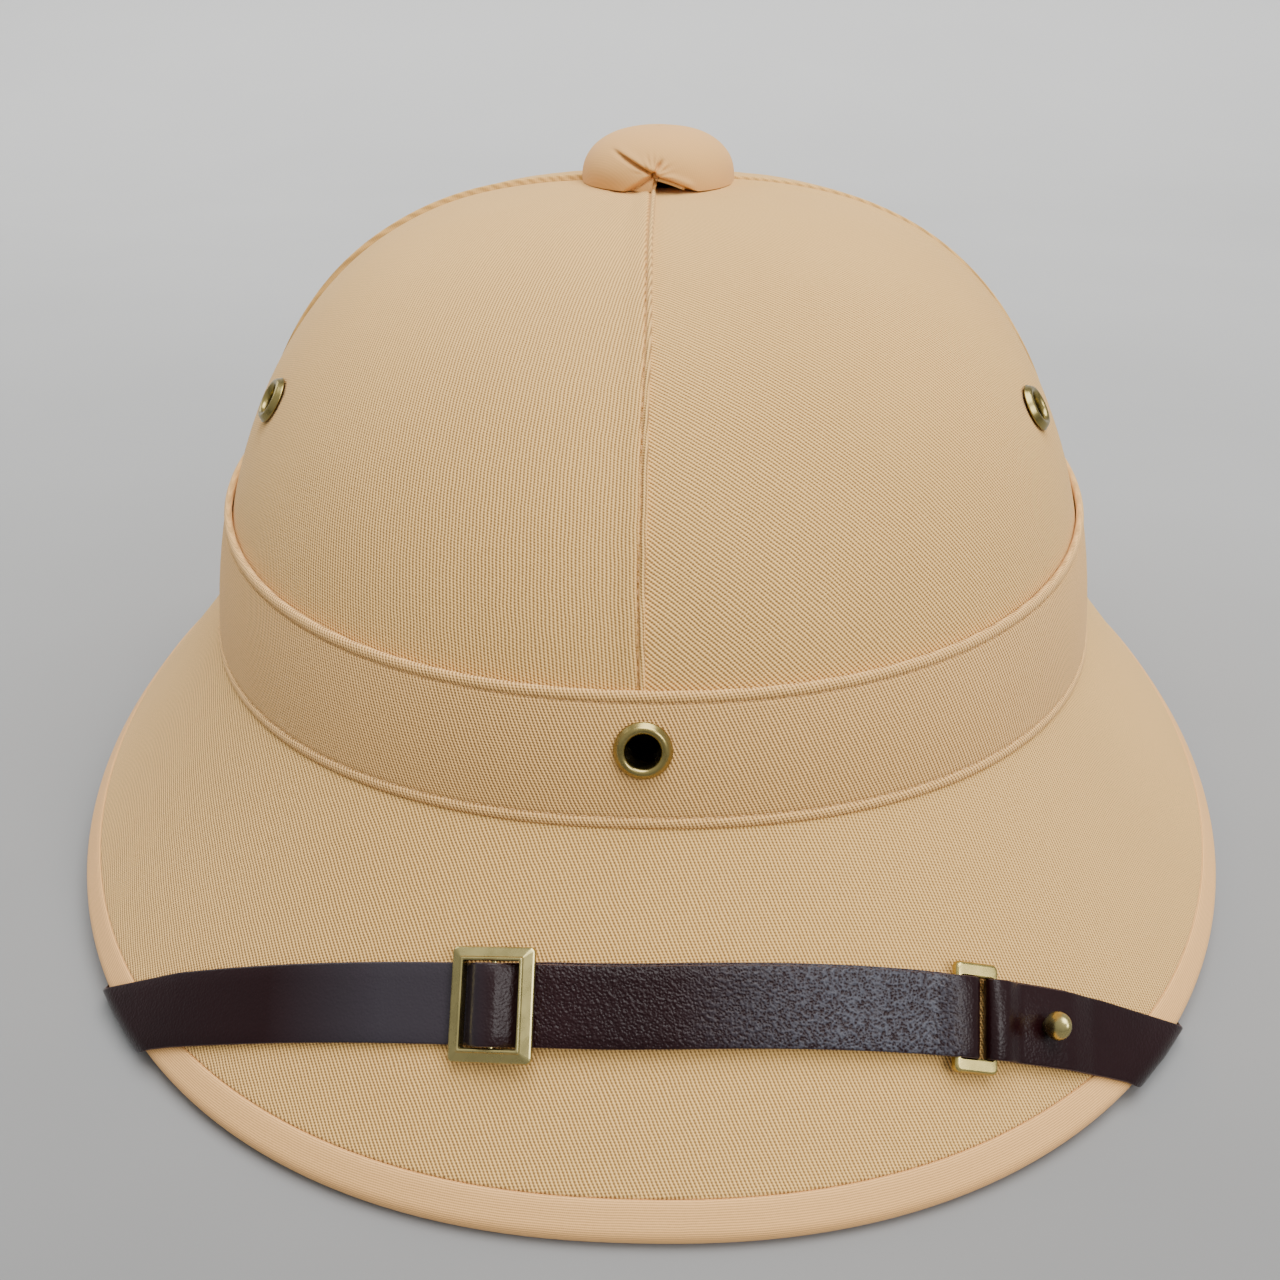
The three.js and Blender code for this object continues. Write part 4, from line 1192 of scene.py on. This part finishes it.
# The long strap comes from the left, goes over the buckle's bar and round the ring's
# left bar, and back under itself to the buckle. The short one comes from the right,
# goes round the ring's right bar, and back under itself past the stud.
def build_straps():
    start = (strap_half - strap_width) / MM
    b, fold = buckle_at, ring_at - 2.0
    route = [(-start, layer_one, 0), (b - 8.1, layer_one, 0), (b - 4.3, layer_one, 0)]
    route += [(b - 2.1, hump_level, 0), (b + 0.3, hump_level, 0), (b + 4.3, layer_two, 0)]
    route += [(b + 8.1, layer_two, 0), (fold - 5.5, layer_two, 0), (fold - 2.5, ring_level + 1.5, 0)]
    route += arc_route(fold, ring_level, 2.2, 1.5, 90, -90)
    route += [(fold - 3, layer_one, peek), (b + 8.1, layer_one, peek)]
    route += arc_route(b, bar_level, 1.5, 1.35, 270, 90)
    route.append((b + 0.6, bar_level + 1.35, 0))
    build_strap("strap_long", -1, math.radians(-168), route)
    fold, tail = ring_at + 3.9, stud_at + 6.5
    route = [(start, layer_one, 0), (tail + 5, layer_one, 0), (tail - 1, layer_two, 0)]
    route += [(fold + 4.5, layer_two, 0), (fold + 1.6, ring_level + 1.5, 0)]
    route += arc_route(fold, ring_level, 1.35, 1.5, 90, 270)
    route += [(fold + 3, layer_one, peek), (tail - 0.6, layer_one, peek)]
    build_strap("strap_short", 1, math.radians(-12), route)


build_straps()

# Buckle, ring and stud

corner_steps = 4
bar_radius = 0.55 * MM


# A flat frame with sloping faces: its section runs from the outer edge round to the
# inner one, as insets along and across and a height, with a corner's radius
def framed(bm, half_length, half_width, section, radius):
    loops = []
    for inset_along, inset_across, height in section:
        round_off = max(radius - 0.5 * inset_along, 0.25)
        a, v = half_length - inset_along - round_off, half_width - inset_across - round_off
        loop = []
        for corner, (sa, sv) in enumerate(((1, 1), (-1, 1), (-1, -1), (1, -1))):
            for k in range(corner_steps + 1):
                turn = (corner + k / corner_steps) * HALF_TURN / 2
                bend = Vector((math.cos(turn), math.sin(turn), 0)) * round_off
                loop.append(Vector((sa * a, sv * v, height)) + bend)
        loops.append(loop)
    rings = [[bm.verts.new(spot * MM) for spot in loop] for loop in loops]
    edge_loops = [[bm.edges.new((ring[k - 1], ring[k])) for k in range(len(ring))] for ring in rings]
    for a, b in zip(edge_loops, edge_loops[1:] + edge_loops[:1]):
        bmesh.ops.bridge_loops(bm, edges=a + b)
    return face_outward(bm)


def strap_matrix(at, height, tilt=0.0):
    point, normal, forward, across = strap_frame(at * MM)
    spot = point + normal * (half_edge + height * MM)
    turn = Matrix((forward, across, normal)).transposed().to_4x4()
    return Matrix.Translation(spot) @ turn @ Matrix.Rotation(-tilt, 4, "Y")


def build_buckle():
    bm = bmesh.new()
    section = [(0.12, 0.12, -1.0), (0.0, 0.0, -0.85), (0.0, 0.0, -0.35), (0.1, 0.1, -0.15), (0.3, 0.3, 0.0)]
    section += [(1.7, 1.6, 0.62), (1.85, 1.75, 0.9), (2.05, 1.95, 1.0), (2.3, 2.2, 0.92), (2.45, 2.35, 0.6)]
    section += [(2.45, 2.35, -0.9), (2.3, 2.2, -1.0)]
    framed(bm, 7.35, 9.35, section, 0.9)
    bm.transform(strap_matrix(buckle_at, 3.3, math.atan2(1.3, 12)))
    bar = bmesh.new()
    lie = strap_matrix(buckle_at, bar_level) @ Matrix.Rotation(HALF_TURN / 2, 4, "X")
    bmesh.ops.create_cone(bar, cap_ends=True, segments=16, radius1=bar_radius, radius2=bar_radius,
                          depth=15.4 * MM, matrix=lie)
    bm.from_mesh(mesh_of(bar, "bar"))
    finish_piece("buckle", bm, [buckle_brass], "buckle", slot="brass", shade=False)


def build_ring():
    bm = bmesh.new()
    section = [(0.1, 0.1, -0.7), (0.0, 0.0, -0.55), (0.0, 0.0, 0.0), (0.1, 0.1, 0.35), (0.28, 0.28, 0.58)]
    section += [(0.55, 0.55, 0.7), (0.8, 2.2, 0.72), (1.0, 2.4, 0.6), (1.1, 2.5, 0.4), (1.1, 2.5, -0.7)]
    framed(bm, 4.2, 9.2, section, 1.0)
    bm.transform(strap_matrix(ring_at + 0.1, ring_level))
    finish_piece("strap_ring", bm, [ring_brass], "strap_ring", slot="brass", shade=False)


def build_stud():
    ball_across, ball_up, ball_middle = 2.12, 2.75, 3.5
    section = [(0, -1.8), (1.1, -1.8), (1.1, 0.8), (1.3, 0.85), (1.3, 1.4)]
    for degrees in range(-50, 90, 10):
        turn = math.radians(degrees)
        taper = 1 - 0.08 * math.sin(turn)
        section.append((ball_across * math.cos(turn) * taper, ball_middle + ball_up * math.sin(turn)))
    section.append((0, ball_middle + ball_up))
    bm = bmesh.new()
    oval = Matrix.Diagonal((0.92, 1.16, 1, 1))
    turned(bm, [(r * MM, up * MM) for r, up in section], strap_matrix(stud_at, layer_two) @ oval)
    finish_piece("stud", bm, [buckle_brass], "stud", slot="brass")


build_buckle()
build_ring()
build_stud()

# Floor, light and camera

# A pale sweep: a floor that curves up into a wall behind, with painted shade darkening it towards the camera
def build_floor():
    wall_at, bend, height, steps = 1.6, 0.8, 3.0, 12
    line = [Vector((0, -3.0, 0)), Vector((0, wall_at - bend, 0))]
    for k in range(1, steps + 1):
        turn = k / steps * HALF_TURN / 2
        line.append(Vector((0, wall_at - bend + bend * math.sin(turn), bend - bend * math.cos(turn))))
    line.append(Vector((0, wall_at, height)))
    bm = bmesh.new()
    corners = [bm.verts.new(spot + Vector((-4, 0, 0))) for spot in line]
    edges = [bm.edges.new(pair) for pair in zip(corners, corners[1:])]
    swept = bmesh.ops.extrude_edge_only(bm, edges=edges)
    far_side = [v for v in swept["geom"] if isinstance(v, bmesh.types.BMVert)]
    bmesh.ops.translate(bm, vec=(8, 0, 0), verts=far_side)
    bmesh.ops.recalc_face_normals(bm, faces=bm.faces)
    mesh = mesh_of(bm, "floor")
    material, tree, shader, body = new_material("pale floor")
    # Painted shade: the colour runs from dark at the camera's side to pale far behind, standing in for the
    # fall of light
    painted_shade_fade = fade(tree, axis_of(tree, body, 1), -0.35, 1.3)
    painted_shade_and_mottle = plus(tree, painted_shade_fade, times(tree, clouds(tree, body, 5.0, 3.0), 0.12))
    tones = blend_colour(tree, painted_shade_and_mottle, (0.115, 0.115, 0.115), (0.72, 0.72, 0.71))
    tree.links.new(tones, shader.inputs["Base Color"])
    shader.inputs["Roughness"].default_value = 0.95
    mesh.materials.append(material)
    for face in mesh.polygons:
        face.use_smooth = True
    add_object("floor", mesh)


build_floor()


def soft_light(name, spot, aim, width, power):
    data = bpy.data.lights.new(name, "AREA")
    data.shape = "DISK"
    data.size = width
    data.energy = power
    lamp = add_object(name, data)
    lamp.location = spot
    lamp.rotation_mode = "QUATERNION"
    lamp.rotation_quaternion = (Vector(aim) - Vector(spot)).to_track_quat("-Z", "Y")


soft_light("overhead", (0.25, -0.1, 1.5), (0, 0, 0.05), 1.3, 32)
soft_light("right front", (0.9, -0.9, 0.9), (0, 0, 0.05), 0.7, 11)
soft_light("left back", (-1.0, 0.6, 0.8), (0, 0, 0.08), 0.8, 5)

# The room's light: brighter overhead, dimmer at the level of the camera
def build_world():
    world = bpy.data.worlds.new("studio")
    world.use_nodes = True
    tree = world.node_tree
    way = add(tree, "ShaderNodeTexCoord").outputs["Generated"]
    share = fade(tree, axis_of(tree, way, 2), -0.1, 0.9)
    tones = blend_colour(tree, share, (0.5, 0.52, 0.55), (1.0, 1.0, 1.0))
    background = tree.nodes["Background"]
    tree.links.new(tones, background.inputs["Color"])
    background.inputs["Strength"].default_value = 0.84
    bpy.context.scene.world = world


build_world()

# The camera of the photograph, worked out from the helmet's outlines
camera_spot = Vector((3.7, -299.7, 184.7)) * MM
camera_ahead = Vector((-0.0207, 0.8776, -0.4789)).normalized()
camera_roll = math.radians(0.137)
sensor_width = 36
lens = 35.99


def build_camera():
    data = bpy.data.cameras.new("camera")
    data.sensor_width = sensor_width
    data.lens = lens
    data.clip_start = 0.01
    camera = add_object("camera", data)
    side = camera_ahead.cross(UP).normalized()
    top = side.cross(camera_ahead)
    right = side * math.cos(camera_roll) + top * math.sin(camera_roll)
    upward = top * math.cos(camera_roll) - side * math.sin(camera_roll)
    turn = Matrix((right, upward, -camera_ahead)).transposed().to_4x4()
    camera.matrix_world = Matrix.Translation(camera_spot) @ turn
    bpy.context.scene.camera = camera


build_camera()

dressed_nodes = {"shell": fibre, "strap_anchor_left": buckle_brass, "strap_anchor_right": buckle_brass}
for name, material in dressed_nodes.items():
    nodes[name].data.materials.clear()
    nodes[name].data.materials.append(material)
